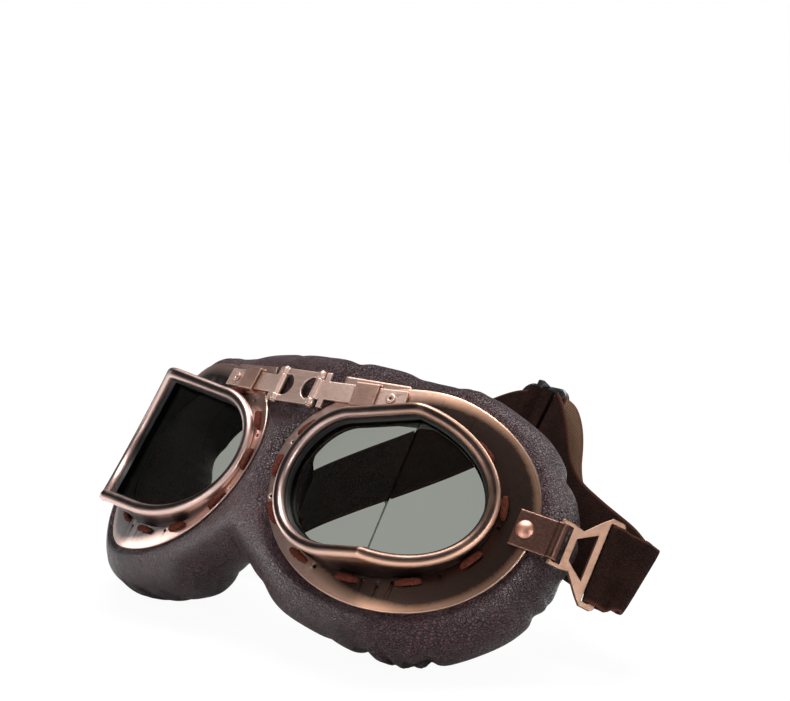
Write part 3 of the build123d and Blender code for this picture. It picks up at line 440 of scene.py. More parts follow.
def copper(add, patina, streak_scale, base, bright, dark, roughness, way="Object", ragged_by=0.9,
           edge_by=0.0004, relief=None, outer=None, painted_sheen=None):
    """Antique copper: fine brushed streaks, patina and painted shade where its share says, and sharp edges
    rubbed bright with a painted highlight.

    Where they are given, outer limits the rubbed and highlit edges, relief is a broad height and the sheen
    share pales the tone as a painted sheen.
    """
    place = add("ShaderNodeTexCoord")
    stretch = add("ShaderNodeMapping", {"Vector": place.outputs[way], "Scale": streak_scale})
    streaks = noise(add, stretch.outputs[0], 1.0, 7.0, 0.7)
    cloud = noise(add, place.outputs["Object"], 70.0, 5.0, 0.6)
    speck = noise(add, place.outputs["Object"], 800.0, 3.0)
    low = tuple(TONE_LOW * c for c in base)
    mild = tuple(TONE_MILD[0] * b + TONE_MILD[1] * c for b, c in zip(base, bright))
    tone = ramp(add, streaks, list(zip(TONE_STOPS, (low, base, mild))))
    # Painted sheen: the tone is paled towards a silvery colour where the share says
    if painted_sheen:
        tone = mixed(add, painted_sheen, tone, COPPER_PAINTED_SHEEN)
    # Patina darkens the tone, and on rims and plates painted shade as well
    ragged = calc(add, "ADD", about_half(add, cloud, ragged_by), patina)
    ragged = calc(add, "ADD", about_half(add, streaks, STREAK_RAGGED), ragged)
    darkened = mixed(add, span(add, ragged, *PATINA_AND_SHADE_COVER), tone, dark)
    true_normal = add("ShaderNodeNewGeometry").outputs["Normal"]
    softened = add("ShaderNodeBevel", {"Radius": edge_by}, samples=6).outputs[0]
    same = add("ShaderNodeVectorMath", {0: softened, 1: true_normal}, operation="DOT_PRODUCT")
    # Edges rubbed bright: wear, and a painted highlight along the edge
    edge = span(add, same.outputs["Value"], *EDGE_WEAR_AND_HIGHLIGHT)
    rubbed_and_highlit = mixed(add, calc(add, "MULTIPLY", edge, outer if outer else 1.0), darkened, bright)
    normal = softened
    if outer:
        flat = add("ShaderNodeMix", {0: outer, 4: true_normal, 5: softened}, data_type="VECTOR")
        normal = add("ShaderNodeVectorMath", {0: flat.outputs[1]}, operation="NORMALIZE").outputs[0]
    if relief:
        normal = bumped(add, relief, 1.0, RELIEF_HEIGHT, normal)
    rough = span(add, speck, 0.0, 1.0, roughness - SMOOTHER, roughness + ROUGHER)
    surface(add, {"Base Color": rubbed_and_highlit, "Roughness": rough, "Metallic": 1.0,
                  "Normal": bumped(add, streaks, STREAK_STRENGTH, STREAK_HEIGHT, normal)})


def even_copper(name, **settings):
    """New material of copper with the same patina everywhere."""
    material, add = blank(name)
    copper(add, **settings)
    return material


SIDES = ((1, "right"), (-1, "left"))

# The bead: each point an inset and a depth behind the pane. The wall: its shares of depth, and its flare.
BEAD_SECTION = np.array([
    (0.62, 3.35), (0.50, 3.05), (0.22, 2.75), (0.05, 2.35), (0.0, 1.85), (0.06, 1.3), (0.28, 0.75),
    (0.62, 0.33), (1.05, 0.10), (1.5, 0.02), (1.95, 0.10), (2.4, 0.20), (2.85, 0.36), (3.25, 0.68),
    (3.55, 1.15), (3.68, 1.7), (3.62, 2.3), (3.4, 2.8), (3.0, 3.1), (2.4, 3.25), (1.9, 3.4)])
WALL_SHARES = np.array([0.12, 0.3, 0.5, 0.7, 0.86, 0.95, 1.0])
WALL_FLARE = np.array([0.0, 0.0, 0.02, 0.1, 0.32, 0.75, 1.35])
WALL_INSET = 0.62
WALL_TOP = 3.4
WALL_FLARE_BY = 0.8
WALL_SEAT = 0.25
WALL_LEAST = 0.05
INNER_INSET = 1.9
INNER_FOOT = 4.2


def rim_grid():
    """Rim surface: wall's foot on the plate, up the wall, over the bead, and back inside."""
    foot = foot_depth(WALL_INSET)
    rows = []
    for share, flare in zip(WALL_SHARES[::-1], WALL_FLARE[::-1]):
        near, way = rim_line(WALL_INSET - WALL_FLARE_BY * flare)
        seat = WALL_SEAT if share == 1.0 else 0.0
        depth = WALL_TOP + share * np.maximum(foot - WALL_TOP, WALL_LEAST) + seat
        rows.append(near + way * depth[:, None])
    rows += [rim_path(inset, depth) for inset, depth in BEAD_SECTION]
    near, way = rim_line(INNER_INSET)
    rows.append(near + way * np.maximum(foot, INNER_FOOT)[:, None])
    return np.stack(rows, 1)


# The UV map runs along the rim in millimetres, and across it from 0 to 1 on the wall and 1 to 2 over the bead
RIM_ACROSS = 3.0
# Dark share across the rim: painted shade on the wall, darkest at its foot, a dark band along the bead's
# crest, and darker inside the bead towards the lens
RIM_DARK_BANDS_AND_SHADE = [(0.0, 1.0), (0.27, 0.8), (0.37, 0.3), (0.43, 0.02), (0.47, 0.2), (0.505, 0.95), (0.535, 0.85),
             (0.575, 0.02), (0.635, 0.25), (0.7, 1.0)]
rim_material, add = blank("rim_copper")
across = add("ShaderNodeSeparateXYZ", {0: add("ShaderNodeTexCoord").outputs["UV"]}).outputs["Y"]
# Dark share across the rim, with painted shade on the wall
band = ramp(add, calc(add, "DIVIDE", across, RIM_ACROSS), greys(RIM_DARK_BANDS_AND_SHADE))
copper(add, band, (0.04, 16.0, 1.0), base=(0.72, 0.43, 0.31), bright=(0.97, 0.77, 0.68),
       dark=(0.03, 0.02, 0.021), roughness=0.38, way="UV", ragged_by=0.6, painted_sheen=worn_place(add)[2])

# The crease is bent round: passes that even out the lines near its top, and two of them near its foot
EVEN_PASSES, EVEN_LOW_PASSES = 8, 2
EVEN_BY, EVEN_FALL = 0.5, 4
TOP_REACH = 5.0
LOW_AT, LOW_REACH = TEMPLE_STEPS - 0.5, 3.0
RIDGE = 12
grid = rim_grid()
places = np.arange(len(grid))
top_near = np.exp(-(np.minimum(places, len(grid) - places) / TOP_REACH) ** EVEN_FALL)[:, None, None]
low_near = np.exp(-((places - LOW_AT) / LOW_REACH) ** EVEN_FALL)[:, None, None]
for k in range(EVEN_PASSES):
    evened = (np.roll(grid, 1, 0) + np.roll(grid, -1, 0)) / 2 - grid
    grid = grid + EVEN_BY * evened * (top_near + (low_near if k < EVEN_LOW_PASSES else 0))
run = np.concatenate([[0], np.cumsum(np.linalg.norm(np.diff(grid[:, RIDGE], axis=0), axis=1))])
over_bead = 1 + np.linspace(0, 1, len(BEAD_SECTION) + 1)[1:]
rows = np.concatenate([np.linspace(0, 1, len(WALL_SHARES)), over_bead, [RIM_ACROSS]])
rim_uv = np.stack(np.meshgrid(run, rows, indexing="ij"), -1)
for side, word in SIDES:
    mesh = sheet_mesh("rim_" + word + "_metal", placed(mirrored(grid, side)), True, True, rim_uv)
    rim = piece("rim_" + word + "_metal", mesh, rim_material)
    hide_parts("rim_" + word)
    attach(rim, "eye_" + word)

# Lens channels
# A black moulded rubber channel grips both lenses just inside each rim.
rubber, add = blank("channel_rubber")
grit = noise(add, own_place(add), 1500.0, 3.0)
surface(add, {"Base Color": mixed(add, grit, (0.006, 0.006, 0.006), (0.02, 0.02, 0.021)), "Roughness": 0.45,
              "Normal": bumped(add, grit, 0.2, 0.0001)})
WELD_REACH = 0.000005
BEVEL_FROM = np.radians(35)
BEVEL_SEGMENTS = 2
EVEN_WEIGHT = 100


def dress(node, material, edge=0.0):
    """Gives a CAD node its material and, with an edge in millimetres, softly rounded edges."""
    obj = frame["nodes"][node]
    obj.data.materials.clear()
    obj.data.materials.append(material)
    if edge:
        weld = obj.modifiers.new("weld", "WELD")
        weld.merge_threshold = WELD_REACH
        bevel = obj.modifiers.new("edges", "BEVEL")
        bevel.width = edge / 1000
        bevel.segments = BEVEL_SEGMENTS
        bevel.limit_method = "ANGLE"
        bevel.angle_limit = BEVEL_FROM
        even = obj.modifiers.new("even", "WEIGHTED_NORMAL")
        even.weight = EVEN_WEIGHT


def dress_pair(node, material, edge=0.0):
    """Dresses a node's right and left copy."""
    for _, word in SIDES:
        dress(node + "_" + word, material, edge)


dress_pair("lens_gasket", rubber)

# Lenses
# Flat smoke-tinted polycarbonate: a large front lens and a side lens that meet in a hairline seam.
smoke, add = blank("lens_smoke")
film = noise(add, own_place(add), 14.0, 2.0)
surface(add, {"Base Color": mixed(add, film, (0.25, 0.262, 0.235), (0.30, 0.312, 0.28)), "Roughness": 0.0,
              "IOR": 1.003, "Transmission Weight": 1.0, "Coat Weight": 0.3, "Coat Roughness": 0.02})
dress_pair("front_lens", smoke)
dress_pair("side_lens", smoke)

# Plates
# One pressed and bent copper sheet carries each rim. It is brushed, then darkened and rubbed back.
# The darkening is heaviest by the laces and towards the temple: patina, with painted shade near the rim's
# foot and a painted dark reflection towards the temple. The outer edge is worn to bare copper and carries a
# painted highlight.
PLATE_CENTRE = (53.0, 3.8)
PLATE_NOSE, PLATE_TEMPLE, PLATE_TOP, PLATE_BOTTOM = 47.8, 40.0, 33.2, 39.6
# Darkening by the laces near the rim's foot is patina with painted shade; towards the temple it is patina
# with a painted dark reflection
PATINA_AND_SHADE_BY_LACES = (0.975, 0.82, -0.15, 0.95)
PATINA_AND_REFLECTION_BY_TEMPLE = (-0.9, 0.7, -0.25, 0.75)
TEMPLE_WAY = (0.032, -0.004)
DISHED = (0.78, 1.0, 0.0, 1.0)
OUTER_EDGE = (0.945, 0.965, 0.0, 1.0)
plate_material, add = blank("plate_copper")
x, z, painted_sheen = worn_place(add)
x = calc(add, "SUBTRACT", x, PLATE_CENTRE[0])
z = calc(add, "SUBTRACT", z, PLATE_CENTRE[1])
out = calc(add, "MAXIMUM", calc(add, "DIVIDE", x, PLATE_TEMPLE), calc(add, "DIVIDE", x, -PLATE_NOSE))
up = calc(add, "MAXIMUM", calc(add, "DIVIDE", z, PLATE_TOP), calc(add, "DIVIDE", z, -PLATE_BOTTOM))
oval = calc(add, "SQRT", calc(add, "ADD", calc(add, "MULTIPLY", out, out), calc(add, "MULTIPLY", up, up)))
# Painted shade with patina near the rim, and a painted dark reflection with patina towards the temple
patina_and_shade_by_laces = span(add, oval, *PATINA_AND_SHADE_BY_LACES)
outwards = calc(add, "ADD", calc(add, "MULTIPLY", z, TEMPLE_WAY[1]), calc(add, "MULTIPLY", x, TEMPLE_WAY[0]))
patina_and_reflection_by_temple = span(add, outwards, *PATINA_AND_REFLECTION_BY_TEMPLE)
dish = calc(add, "MULTIPLY", calc(add, "POWER", span(add, oval, *DISHED), 2.0), -1.0)
copper(add, calc(add, "ADD", patina_and_shade_by_laces, patina_and_reflection_by_temple), (40.0, 2400.0, 2400.0), COPPER, COPPER_BRIGHT, COPPER_DARK,
       roughness=0.34, ragged_by=0.22, edge_by=0.0008, relief=dish,
       outer=span(add, oval, *OUTER_EDGE), painted_sheen=painted_sheen)
dress_pair("frame_plate", plate_material, 0.2)

# Bridge
# A stamped link hinges on two pins. Each arm runs through a keeper band and is riveted to the plate's ear.
LINK_STREAKS = (60.0, 2600.0, 2600.0)
bridge_material = even_copper(
    "bridge_copper", patina=0.1, streak_scale=LINK_STREAKS, base=(0.8, 0.56, 0.47),
    bright=(0.97, 0.82, 0.75), dark=(0.2, 0.1, 0.08), roughness=0.45)
keeper_material = even_copper(
    "keeper_copper", patina=0.22, streak_scale=LINK_STREAKS, base=(0.62, 0.38, 0.3),
    bright=(0.85, 0.6, 0.5), dark=(0.08, 0.045, 0.038), roughness=0.42)
dress("bridge_link", bridge_material, 0.16)
dress_pair("hinge_pin", bridge_material, 0.1)
dress_pair("nose_arm", bridge_material, 0.16)
dress_pair("arm_keeper", keeper_material, 0.16)
dress_pair("arm_eyelet", bridge_material, 0.08)

# Temple clips, rivets and rings
# A folded dark copper clip is riveted over the plate's edge and holds a light cast ring for the strap.
clip_material = even_copper(
    "clip_copper", patina=0.25, streak_scale=(60.0, 2400.0, 2400.0), base=(0.13, 0.065, 0.05),
    bright=(0.5, 0.27, 0.19), dark=(0.03, 0.018, 0.015), roughness=0.36, ragged_by=0.2, edge_by=0.0007)
rivet_material = even_copper(
    "rivet_copper", patina=0.02, streak_scale=(200.0, 200.0, 200.0), base=(0.66, 0.34, 0.25),
    bright=(0.85, 0.52, 0.42), dark=(0.2, 0.1, 0.08), roughness=0.42)
ring_material = even_copper(
    "ring_copper", patina=0.15, streak_scale=(200.0, 200.0, 400.0), base=(0.4, 0.24, 0.17),
    bright=(0.6, 0.4, 0.3), dark=(0.16, 0.085, 0.06), roughness=0.45)
dress_pair("temple_clip", clip_material, 0.16)
dress_pair("clip_rivet", rivet_material)
dress_pair("strap_ring", ring_material, 0.3)

# Laces
# A suede cord is stitched through eleven pairs of small holes round each rim, and shows as short dashes.
LACE_PAIRS = 11
LACE_PHASE = -0.022
LACE_STITCH = 0.42
LACE_SHIFT = {8: -0.012, 9: -0.030, 10: -0.010}
LACE_OFFSET = 2.1
LACE_STEPS, LACE_ROUND = 28, 14
LACE_RISE, LACE_DIVE = 0.95, 1.1
LACE_HALF_WIDTH, LACE_TIP_NARROWER = 1.15, 0.75
LACE_HALF_SHEET, LACE_TIP_THINNER = 0.72, 0.2
LACE_CROWD = 0.8
LACE_RISE_POWER, LACE_DIVE_POWER = 7, 14
LACE_NARROW_POWER, LACE_THIN_POWER = 3, 6
LACE_SQUARE_WIDE, LACE_SQUARE_TALL = 0.7, 0.8
LACE_WAVER, LACE_FUZZ = 0.05, 0.07
LACE_SEED = 40
suede, add = blank("lace_suede")
place = own_place(add)
nap = noise(add, place, 1400.0, 5.0, 0.7)
fibre = calc(add, "ADD", nap, noise(add, place, 260.0, 2.0))
surface(add, {"Base Color": ramp(add, nap, [(0.3, (0.028, 0.008, 0.006)), (0.7, (0.17, 0.045, 0.028))]),
              "Roughness": 1.0, "Specular IOR Level": 0.1, "Normal": bumped(add, fibre, 0.9, 0.0003)})


def lace_grid(start, end, seed):
    """One stitch: a flat cord that rises out of one hole, lies on the plate and dives into the next."""
    along = np.linspace(0, 1, LACE_STEPS)
    edge = np.abs(2 * along - 1)
    centre = start + (end - start) * (0.5 + 0.5 * signed_power(2 * along - 1, LACE_CROWD))[:, None]
    rise = LACE_RISE * (1 - edge ** LACE_RISE_POWER) - LACE_DIVE * edge ** LACE_DIVE_POWER
    run = (end - start) / np.linalg.norm(end - start)
    slope = PLATE_NOSE_SLOPE if (start[0] + end[0]) / 2 < PLATE_BEND[0] else PLATE_TEMPLE_SLOPE
    front = np.array([slope, -1, 0]) / np.hypot(slope, 1)
    across = np.cross(run, front)
    front = np.cross(across, run)
    around = np.linspace(0, 2 * np.pi, LACE_ROUND, endpoint=False)
    wide = signed_power(np.cos(around), LACE_SQUARE_WIDE)
    tall = signed_power(np.sin(around), LACE_SQUARE_TALL)
    shake = np.random.default_rng(seed)
    waver = 1 + LACE_WAVER * shake.standard_normal(LACE_STEPS)
    half = (LACE_HALF_WIDTH - LACE_TIP_NARROWER * edge ** LACE_NARROW_POWER) * waver
    thick = LACE_HALF_SHEET - LACE_TIP_THINNER * edge ** LACE_THIN_POWER
    line = centre + front * rise[:, None]
    fuzz = 1 + LACE_FUZZ * shake.standard_normal((LACE_STEPS, LACE_ROUND))
    ring = across * (half[:, None] * wide * fuzz)[..., None]
    ring = ring + front * (thick[:, None] * tall * fuzz)[..., None]
    grid = line[:, None] + ring
    grid[0] = line[0]
    grid[-1] = line[-1]
    return grid


near, way = rim_line(-LACE_OFFSET)
lace_line = near + way * foot_depth(-LACE_OFFSET)[:, None]
step = np.linalg.norm(np.diff(lace_line[:, [0, 2]], axis=0), axis=1)
lace_length = np.concatenate([[0], np.cumsum(step)])


def lace_spot(share):
    """Point on the lace's line at a share of its length."""
    want = (share % 1.0) * lace_length[-1]
    return np.array([np.interp(want, lace_length, lace_line[:, i]) for i in range(3)])


for side, word in SIDES:
    stitches = []
    for k in range(LACE_PAIRS):
        share = LACE_PHASE + k / LACE_PAIRS + LACE_SHIFT.get(k, 0)
        grid = lace_grid(lace_spot(share), lace_spot(share + LACE_STITCH / LACE_PAIRS), LACE_SEED + k)
        stitches.append(sheet_mesh("stitch", placed(mirrored(grid, side)), closed_across=True))
    lace = piece("lace_" + word + "_suede", joined("lace_" + word + "_suede", stitches), suede)
    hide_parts("lace_" + word)
    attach(lace, "eye_" + word)

# Cushion
# One leather skin over soft foam, gathered at its outer and rear edge. The two cups meet at the nose.
NOSE_TOP, NOSE_LOW = 44.0, -27.8
OUTLINE = np.array([
    (0, NOSE_TOP), (13, 44.4), (26, 44.9), (35, 44.2), (43.5, 43.9), (51.7, 44.7), (56.7, 44.7), (65, 42.3),
    (73, 39.4), (80.4, 35.5), (87.8, 28.0), (94.4, 18.5), (97.4, 11.5), (98.5, 3.8), (97.6, -6),
    (95.2, -15), (90.3, -25.7), (82, -34.4), (73, -40.7), (65.7, -44.2), (52.6, -45.4), (38.6, -44.6),
    (24, -42.3), (15.7, -38), (7.5, -32.3), (0, NOSE_LOW)])
CUP_CENTRE = (42.9, 2.0)
CUP_NOSE, CUP_TEMPLE, CUP_TOP, CUP_BOTTOM = 34.0, 32.0, 23.5, 26.5
CUP_OUT_NOSE, CUP_OUT_TEMPLE, CUP_OUT_TOP, CUP_OUT_BOTTOM = 40.0, 28.0, 35.0, 29.0
CUSHION_TURN = np.radians(18.0)
TURN_REACH = 40
MIDDLE_Y = 30.27
MIDDLE_RUN = 53.36
NOSE_CURVE = 8.0
CUSHION_DEPTH = 29.5
CUSHION_MIDDLE = 15.0
EDGE_ROUND = 9.5
REAR_ROUND = 8.0
CUP_ROUND = 6.0
NOSE_ROUND = 14.0
OUTLINE_STEPS = 12
RAYS, NOSE_RAYS = 300, 60
ROWS, WALL_ROWS = 34, 6
FRONT_STEPS = 6
NEARLY_ZERO = 1e-9
HIT_SLACK = 1e-6

# How the leather lies: behind the plate's front, in a puff past the plate's edge except at the ear, and no
# further forward than its least depth. It is hollow at the nose and lower at the cup's lip.
# A pair is the range of x, of z or of the plate's oval over which a share rises.
BEHIND_PLATE = 0.85
PUFF_LEAST, PUFF_MORE, PUFF_LOW, PUFF_PAST = 0.5, 1.2, (30, 10), (1.01, 1.07)
EAR_ABOVE, EAR_BESIDE = (14, 22), (48, 54)
FRONT_LEAST, FRONT_MORE, FRONT_ABOVE = 3.6, 3.4, (12, 18)
HOLLOW_LEAST, HOLLOW_MORE, HOLLOW_ABOVE, HOLLOW_BESIDE = 4.0, 10.0, (4, 16), (0, 28)
LIP_LEAST, LIP_MORE = 0.55, 0.45


def smooth_line(points, per_run):
    """Catmull-Rom line through the points, with its end tangents along the first and last runs."""
    padded = np.vstack([2 * points[0] - points[1], points, 2 * points[-1] - points[-2]])
    t = np.linspace(0, 1, per_run, endpoint=False)[:, None]
    runs = []
    for a, b, c, d in zip(padded, padded[1:], padded[2:], padded[3:]):
        bend, twist = 2 * a - 5 * b + 4 * c - d, 3 * b - a - 3 * c + d
        runs.append(0.5 * (2 * b + (c - a) * t + bend * t ** 2 + twist * t ** 3))
    return np.vstack(runs + [points[-1:]])


def smooth_share(value, start=0.0, end=1.0):
    """Eases from 0 at the start to 1 at the end."""
    share = np.clip((value - start) / (end - start), 0, 1)
    return share * share * (3 - 2 * share)


def rounded(gap, size):
    """Quarter ellipse: 0 at the edge and 1 at size and beyond."""
    return np.sqrt(np.clip(1 - np.clip(1 - gap / size, 0, 1) ** 2, 0, 1))


outline = smooth_line(OUTLINE, OUTLINE_STEPS)


def outline_reach(angle):
    """Distance from the cup's centre to the outline or the nose plane, along each angle."""
    border = np.vstack([outline, [[0.0, NOSE_TOP]]])
    a = border[:-1] - CUP_CENTRE
    b = border[1:] - CUP_CENTRE
    way = np.stack([np.cos(angle), np.sin(angle)], -1)[:, None]
    run = b - a
    crossing = way[..., 0] * run[:, 1] - way[..., 1] * run[:, 0]
    crossing = np.where(np.abs(crossing) < NEARLY_ZERO, NEARLY_ZERO, crossing)
    reach = (a[:, 0] * run[:, 1] - a[:, 1] * run[:, 0]) / crossing
    share = (a[:, 0] * way[..., 1] - a[:, 1] * way[..., 0]) / crossing
    hit = (share >= -HIT_SLACK) & (share <= 1 + HIT_SLACK) & (reach > 0)
    return np.where(hit, reach, np.inf).min(1)


def to_outline(x, z):
    """Distance from each point to the whole cushion's outline, both halves."""
    whole = np.vstack([outline, outline[::-1] * (-1, 1)])
    run = np.roll(whole, -1, 0) - whole
    off = np.stack([x.ravel(), z.ravel()], -1)[:, None] - whole
    share = np.clip((off * run).sum(-1) / np.maximum((run * run).sum(-1), NEARLY_ZERO), 0, 1)
    apart = off - share[..., None] * run
    return np.sqrt((apart * apart).sum(-1).min(1)).reshape(x.shape)


def middle_y(x):
    """Depth of the cushion's middle layer, level at the nose and then along its turn."""
    return MIDDLE_Y + (np.sqrt(x * x + NOSE_CURVE ** 2) - MIDDLE_RUN) * np.tan(CUSHION_TURN)


def cushion_turn(x):
    """Turn of the cushion's normal, which looks straight back at the nose."""
    return CUSHION_TURN * smooth_share(x, 0, TURN_REACH)


def cushion_point(x, z, depth):
    """Point at a depth behind the cushion's front."""
    behind = depth - CUSHION_MIDDLE
    turned = cushion_turn(x)
    return np.stack([x - behind * np.sin(turned), middle_y(x) + behind * np.cos(turned), z], -1)


def plate_oval(x, z):
    """Size of a point's place on the plate: 1 on its edge."""
    out = (x - PLATE_CENTRE[0]) / np.where(x > PLATE_CENTRE[0], PLATE_TEMPLE, PLATE_NOSE)
    up = (z - PLATE_CENTRE[1]) / np.where(z > PLATE_CENTRE[1], PLATE_TOP, PLATE_BOTTOM)
    return np.hypot(out, up)


def front_depth(x, z):
    """Depth at which the leather lies against the back of the plate, closed in on step by step.

    It puffs up past the plate's edge at the bottom and beside the nose, and stays behind the ear at the top.
    """
    turned = cushion_turn(x)
    depth = np.zeros_like(x)
    for _ in range(FRONT_STEPS):
        shown_x = x - (depth - CUSHION_MIDDLE) * np.sin(turned)
        past_plate = smooth_share(plate_oval(shown_x, z), *PUFF_PAST)
        off_ear = 1 - smooth_share(z, *EAR_ABOVE) * (1 - smooth_share(x, *EAR_BESIDE))
        puff = (PUFF_LEAST + PUFF_MORE * smooth_share(z, *PUFF_LOW)) * off_ear * past_plate
        least = FRONT_LEAST + FRONT_MORE * smooth_share(z, *FRONT_ABOVE)
        wanted = np.maximum(plate_y(shown_x) + BEHIND_PLATE - puff, least)
        depth = CUSHION_MIDDLE + (wanted - middle_y(x)) / np.cos(turned)
    return depth


# Rays fan out from the cup's centre: most of them to the outline, and the rest to the nose plane
corner_top = np.arctan2(NOSE_TOP - CUP_CENTRE[1], -CUP_CENTRE[0])
corner_low = np.arctan2(NOSE_LOW - CUP_CENTRE[1], -CUP_CENTRE[0])
angles = np.concatenate([np.linspace(corner_low, corner_top, RAYS, endpoint=False),
                         np.linspace(corner_top, corner_low + 2 * np.pi, NOSE_RAYS + 1)[:-1]])
ray_x, ray_z = np.cos(angles), np.sin(angles)
reach = outline_reach(angles)
cup_x = np.where(ray_x < 0, CUP_NOSE, CUP_TEMPLE)
cup_z = np.where(ray_z < 0, CUP_BOTTOM, CUP_TOP)
cup = 1 / np.sqrt((ray_x / cup_x) ** 2 + (ray_z / cup_z) ** 2)

spread = 0.5 - 0.5 * np.cos(np.linspace(0, np.pi, ROWS))
wall_gap = (reach - cup)[:, None] * spread
radius = cup[:, None] + wall_gap
plan_x = np.maximum(CUP_CENTRE[0] + radius * ray_x[:, None], 0)
plan_z = CUP_CENTRE[1] + radius * ray_z[:, None]
border = to_outline(plan_x, plan_z)

front = CUSHION_MIDDLE - (CUSHION_MIDDLE - front_depth(plan_x, plan_z)) * rounded(border, EDGE_ROUND)
nose_hollow = HOLLOW_LEAST + HOLLOW_MORE * smooth_share(plan_z, *HOLLOW_ABOVE)
nose_hollow = nose_hollow * (1 - smooth_share(plan_x, *HOLLOW_BESIDE))
rear = (CUSHION_DEPTH - nose_hollow - CUSHION_MIDDLE) * rounded(border, REAR_ROUND)
rear = CUSHION_MIDDLE + rear * (LIP_LEAST + LIP_MORE * rounded(wall_gap, CUP_ROUND))

# The gathers: narrow valleys across the outer and rear leather, deeper towards the rear, none at the nose
GATHERS = 26
GATHER_SEED = 7
GATHER_CLEAR = 0.12
GATHER_WIDTHS, GATHER_DEPTHS, GATHER_LEANS = (0.02, 0.085), (0.3, 2.6), (-0.12, 0.12)
GATHER_FRONT, GATHER_MORE, GATHER_GROWS = 0.15, 0.85, (0.15, 0.75)
GATHER_SWELL, SWELL_WIDER = 0.25, 2.6
GATHER_BESIDE_NOSE = (0, 16)
GATHER_CALM = 0.6
GATHER_BACK = 0.35
gather = np.random.default_rng(GATHER_SEED)
gather_at = np.sort(gather.uniform(corner_low + GATHER_CLEAR, corner_top - GATHER_CLEAR, GATHERS))
gather_wide = gather.uniform(*GATHER_WIDTHS, GATHERS)
gather_deep = gather.uniform(*GATHER_DEPTHS, GATHERS)
gather_lean = gather.uniform(*GATHER_LEANS, GATHERS)


def gathers(angle, depth):
    """Inward pull of all gathers at an angle and a depth."""
    share = np.clip(depth / CUSHION_DEPTH, 0, 1)
    towards_rear = GATHER_FRONT + GATHER_MORE * smooth_share(share, *GATHER_GROWS)
    pull = np.zeros_like(depth)
    for at, wide, deep, lean in zip(gather_at, gather_wide, gather_deep, gather_lean):
        off = (angle - at - lean * (share - 0.5)) / wide
        swell = GATHER_SWELL * np.exp(-(off / SWELL_WIDER) ** 2)
        pull += deep * towards_rear * (np.exp(-off * off) - swell)
    return pull


def skin(depth, sign):
    """Grid of the front or the rear leather with its gathers pulled in towards the cup."""
    pull = gathers(angles[:, None] + 0 * depth, depth)
    pull = pull * smooth_share(plan_x, *GATHER_BESIDE_NOSE) * (1 - GATHER_CALM * rounded(border, NOSE_ROUND))
    grid = cushion_point(plan_x, plan_z, depth)
    grid[..., 0] -= pull * ray_x[:, None]
    grid[..., 2] -= pull * ray_z[:, None]
    grid[..., 1] -= sign * GATHER_BACK * pull
    return grid


front_grid = skin(front, -1)
rear_grid = skin(rear, 1)

# The cup opens out towards the face, and its upper half is squarer
TEMPLE_WIDER, TEMPLE_WIDER_ABOVE = 10, (0, 0.5)
SQUARE_TOP, SQUARE_BOTTOM = 4.0, 2.0
FLARE_REACH, FLARE_BESIDE = (0, 12), (1, 9)
temple_out = CUP_OUT_TEMPLE + TEMPLE_WIDER * smooth_share(ray_z, *TEMPLE_WIDER_ABOVE)
out_x = np.where(ray_x < 0, CUP_OUT_NOSE, temple_out)
out_z = np.where(ray_z < 0, CUP_OUT_BOTTOM, CUP_OUT_TOP)
square = np.where(ray_z > 0, SQUARE_TOP, SQUARE_BOTTOM)
wider = (np.abs(ray_x / out_x) ** square + np.abs(ray_z / out_z) ** square) ** (-1 / square) - cup
flare = wider[:, None] * (1 - smooth_share(wall_gap, *FLARE_REACH)) * smooth_share(plan_x, *FLARE_BESIDE)
rear_grid[..., 0] += flare * ray_x[:, None]
rear_grid[..., 2] += flare * ray_z[:, None]
wall = np.linspace(0, 1, WALL_ROWS + 2)[1:-1][None, :, None]
cup_wall = rear_grid[:, :1] * (1 - wall) + front_grid[:, :1] * wall
cushion_grid = np.concatenate([front_grid, rear_grid[:, ::-1], cup_wall], 1)

# The leather's grain: pebbles between fine cracks, over creases and slow patches of tone. The grain's height
# paints shade into the cracks and a highlight onto the pebble tops.
PEBBLE_HEIGHT = (0.0, 0.2, 0.0, 1.3)
GRAIN_PAINTED_SHADE_AND_HIGHLIGHT = (1.1, 2.1, 0.4, 1.75)
GRAIN_ROUGH = (0.0, 1.0, 0.24, 0.4)
leather, add = blank("cushion_leather")
place = own_place(add)
warp = add("ShaderNodeTexNoise", {"Vector": place, "Scale": 140.0, "Detail": 2.0})
bent = add("ShaderNodeMix", {0: 0.004, 4: place, 5: warp.outputs["Color"]}, data_type="VECTOR")
pebble = add("ShaderNodeTexVoronoi", {"Vector": bent.outputs[1], "Scale": 1000.0, "Randomness": 0.95},
             feature="DISTANCE_TO_EDGE")
fine = noise(add, place, 2300.0, 4.0, 0.6)
crease = noise(add, place, 480.0, 5.0, 0.62)
patch = noise(add, place, 38.0, 3.0)
height = calc(add, "ADD", fine, span(add, pebble.outputs["Distance"], *PEBBLE_HEIGHT))
height = calc(add, "ADD", crease, height)
hide = ramp(add, patch, [(0.3, (0.044, 0.020, 0.024)), (0.72, (0.104, 0.052, 0.058))])
# Painted shade in the cracks and painted highlight on the pebble tops, from the grain's height
surface(add, {"Base Color": mixed(add, 1.0, hide, span(add, height, *GRAIN_PAINTED_SHADE_AND_HIGHLIGHT), "MULTIPLY"),
              "Roughness": span(add, fine, *GRAIN_ROUGH), "Specular IOR Level": 0.55,
              "Normal": bumped(add, height, 1.0, 0.0014)})


def on_floor(points):
    """Flattens what would sink into the floor."""
    points[..., 2] = np.maximum(points[..., 2], 0.0)
    return points


for side, word in SIDES:
    grid = on_floor(placed(mirrored(cushion_grid, side)))
    mesh = sheet_mesh("cushion_" + word + "_leather", grid, True, True)
    cushion = piece("cushion_" + word + "_leather", mesh, leather)
    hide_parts("cushion_" + word, "foam_" + word, "cushion_bridge")
    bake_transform(cushion)

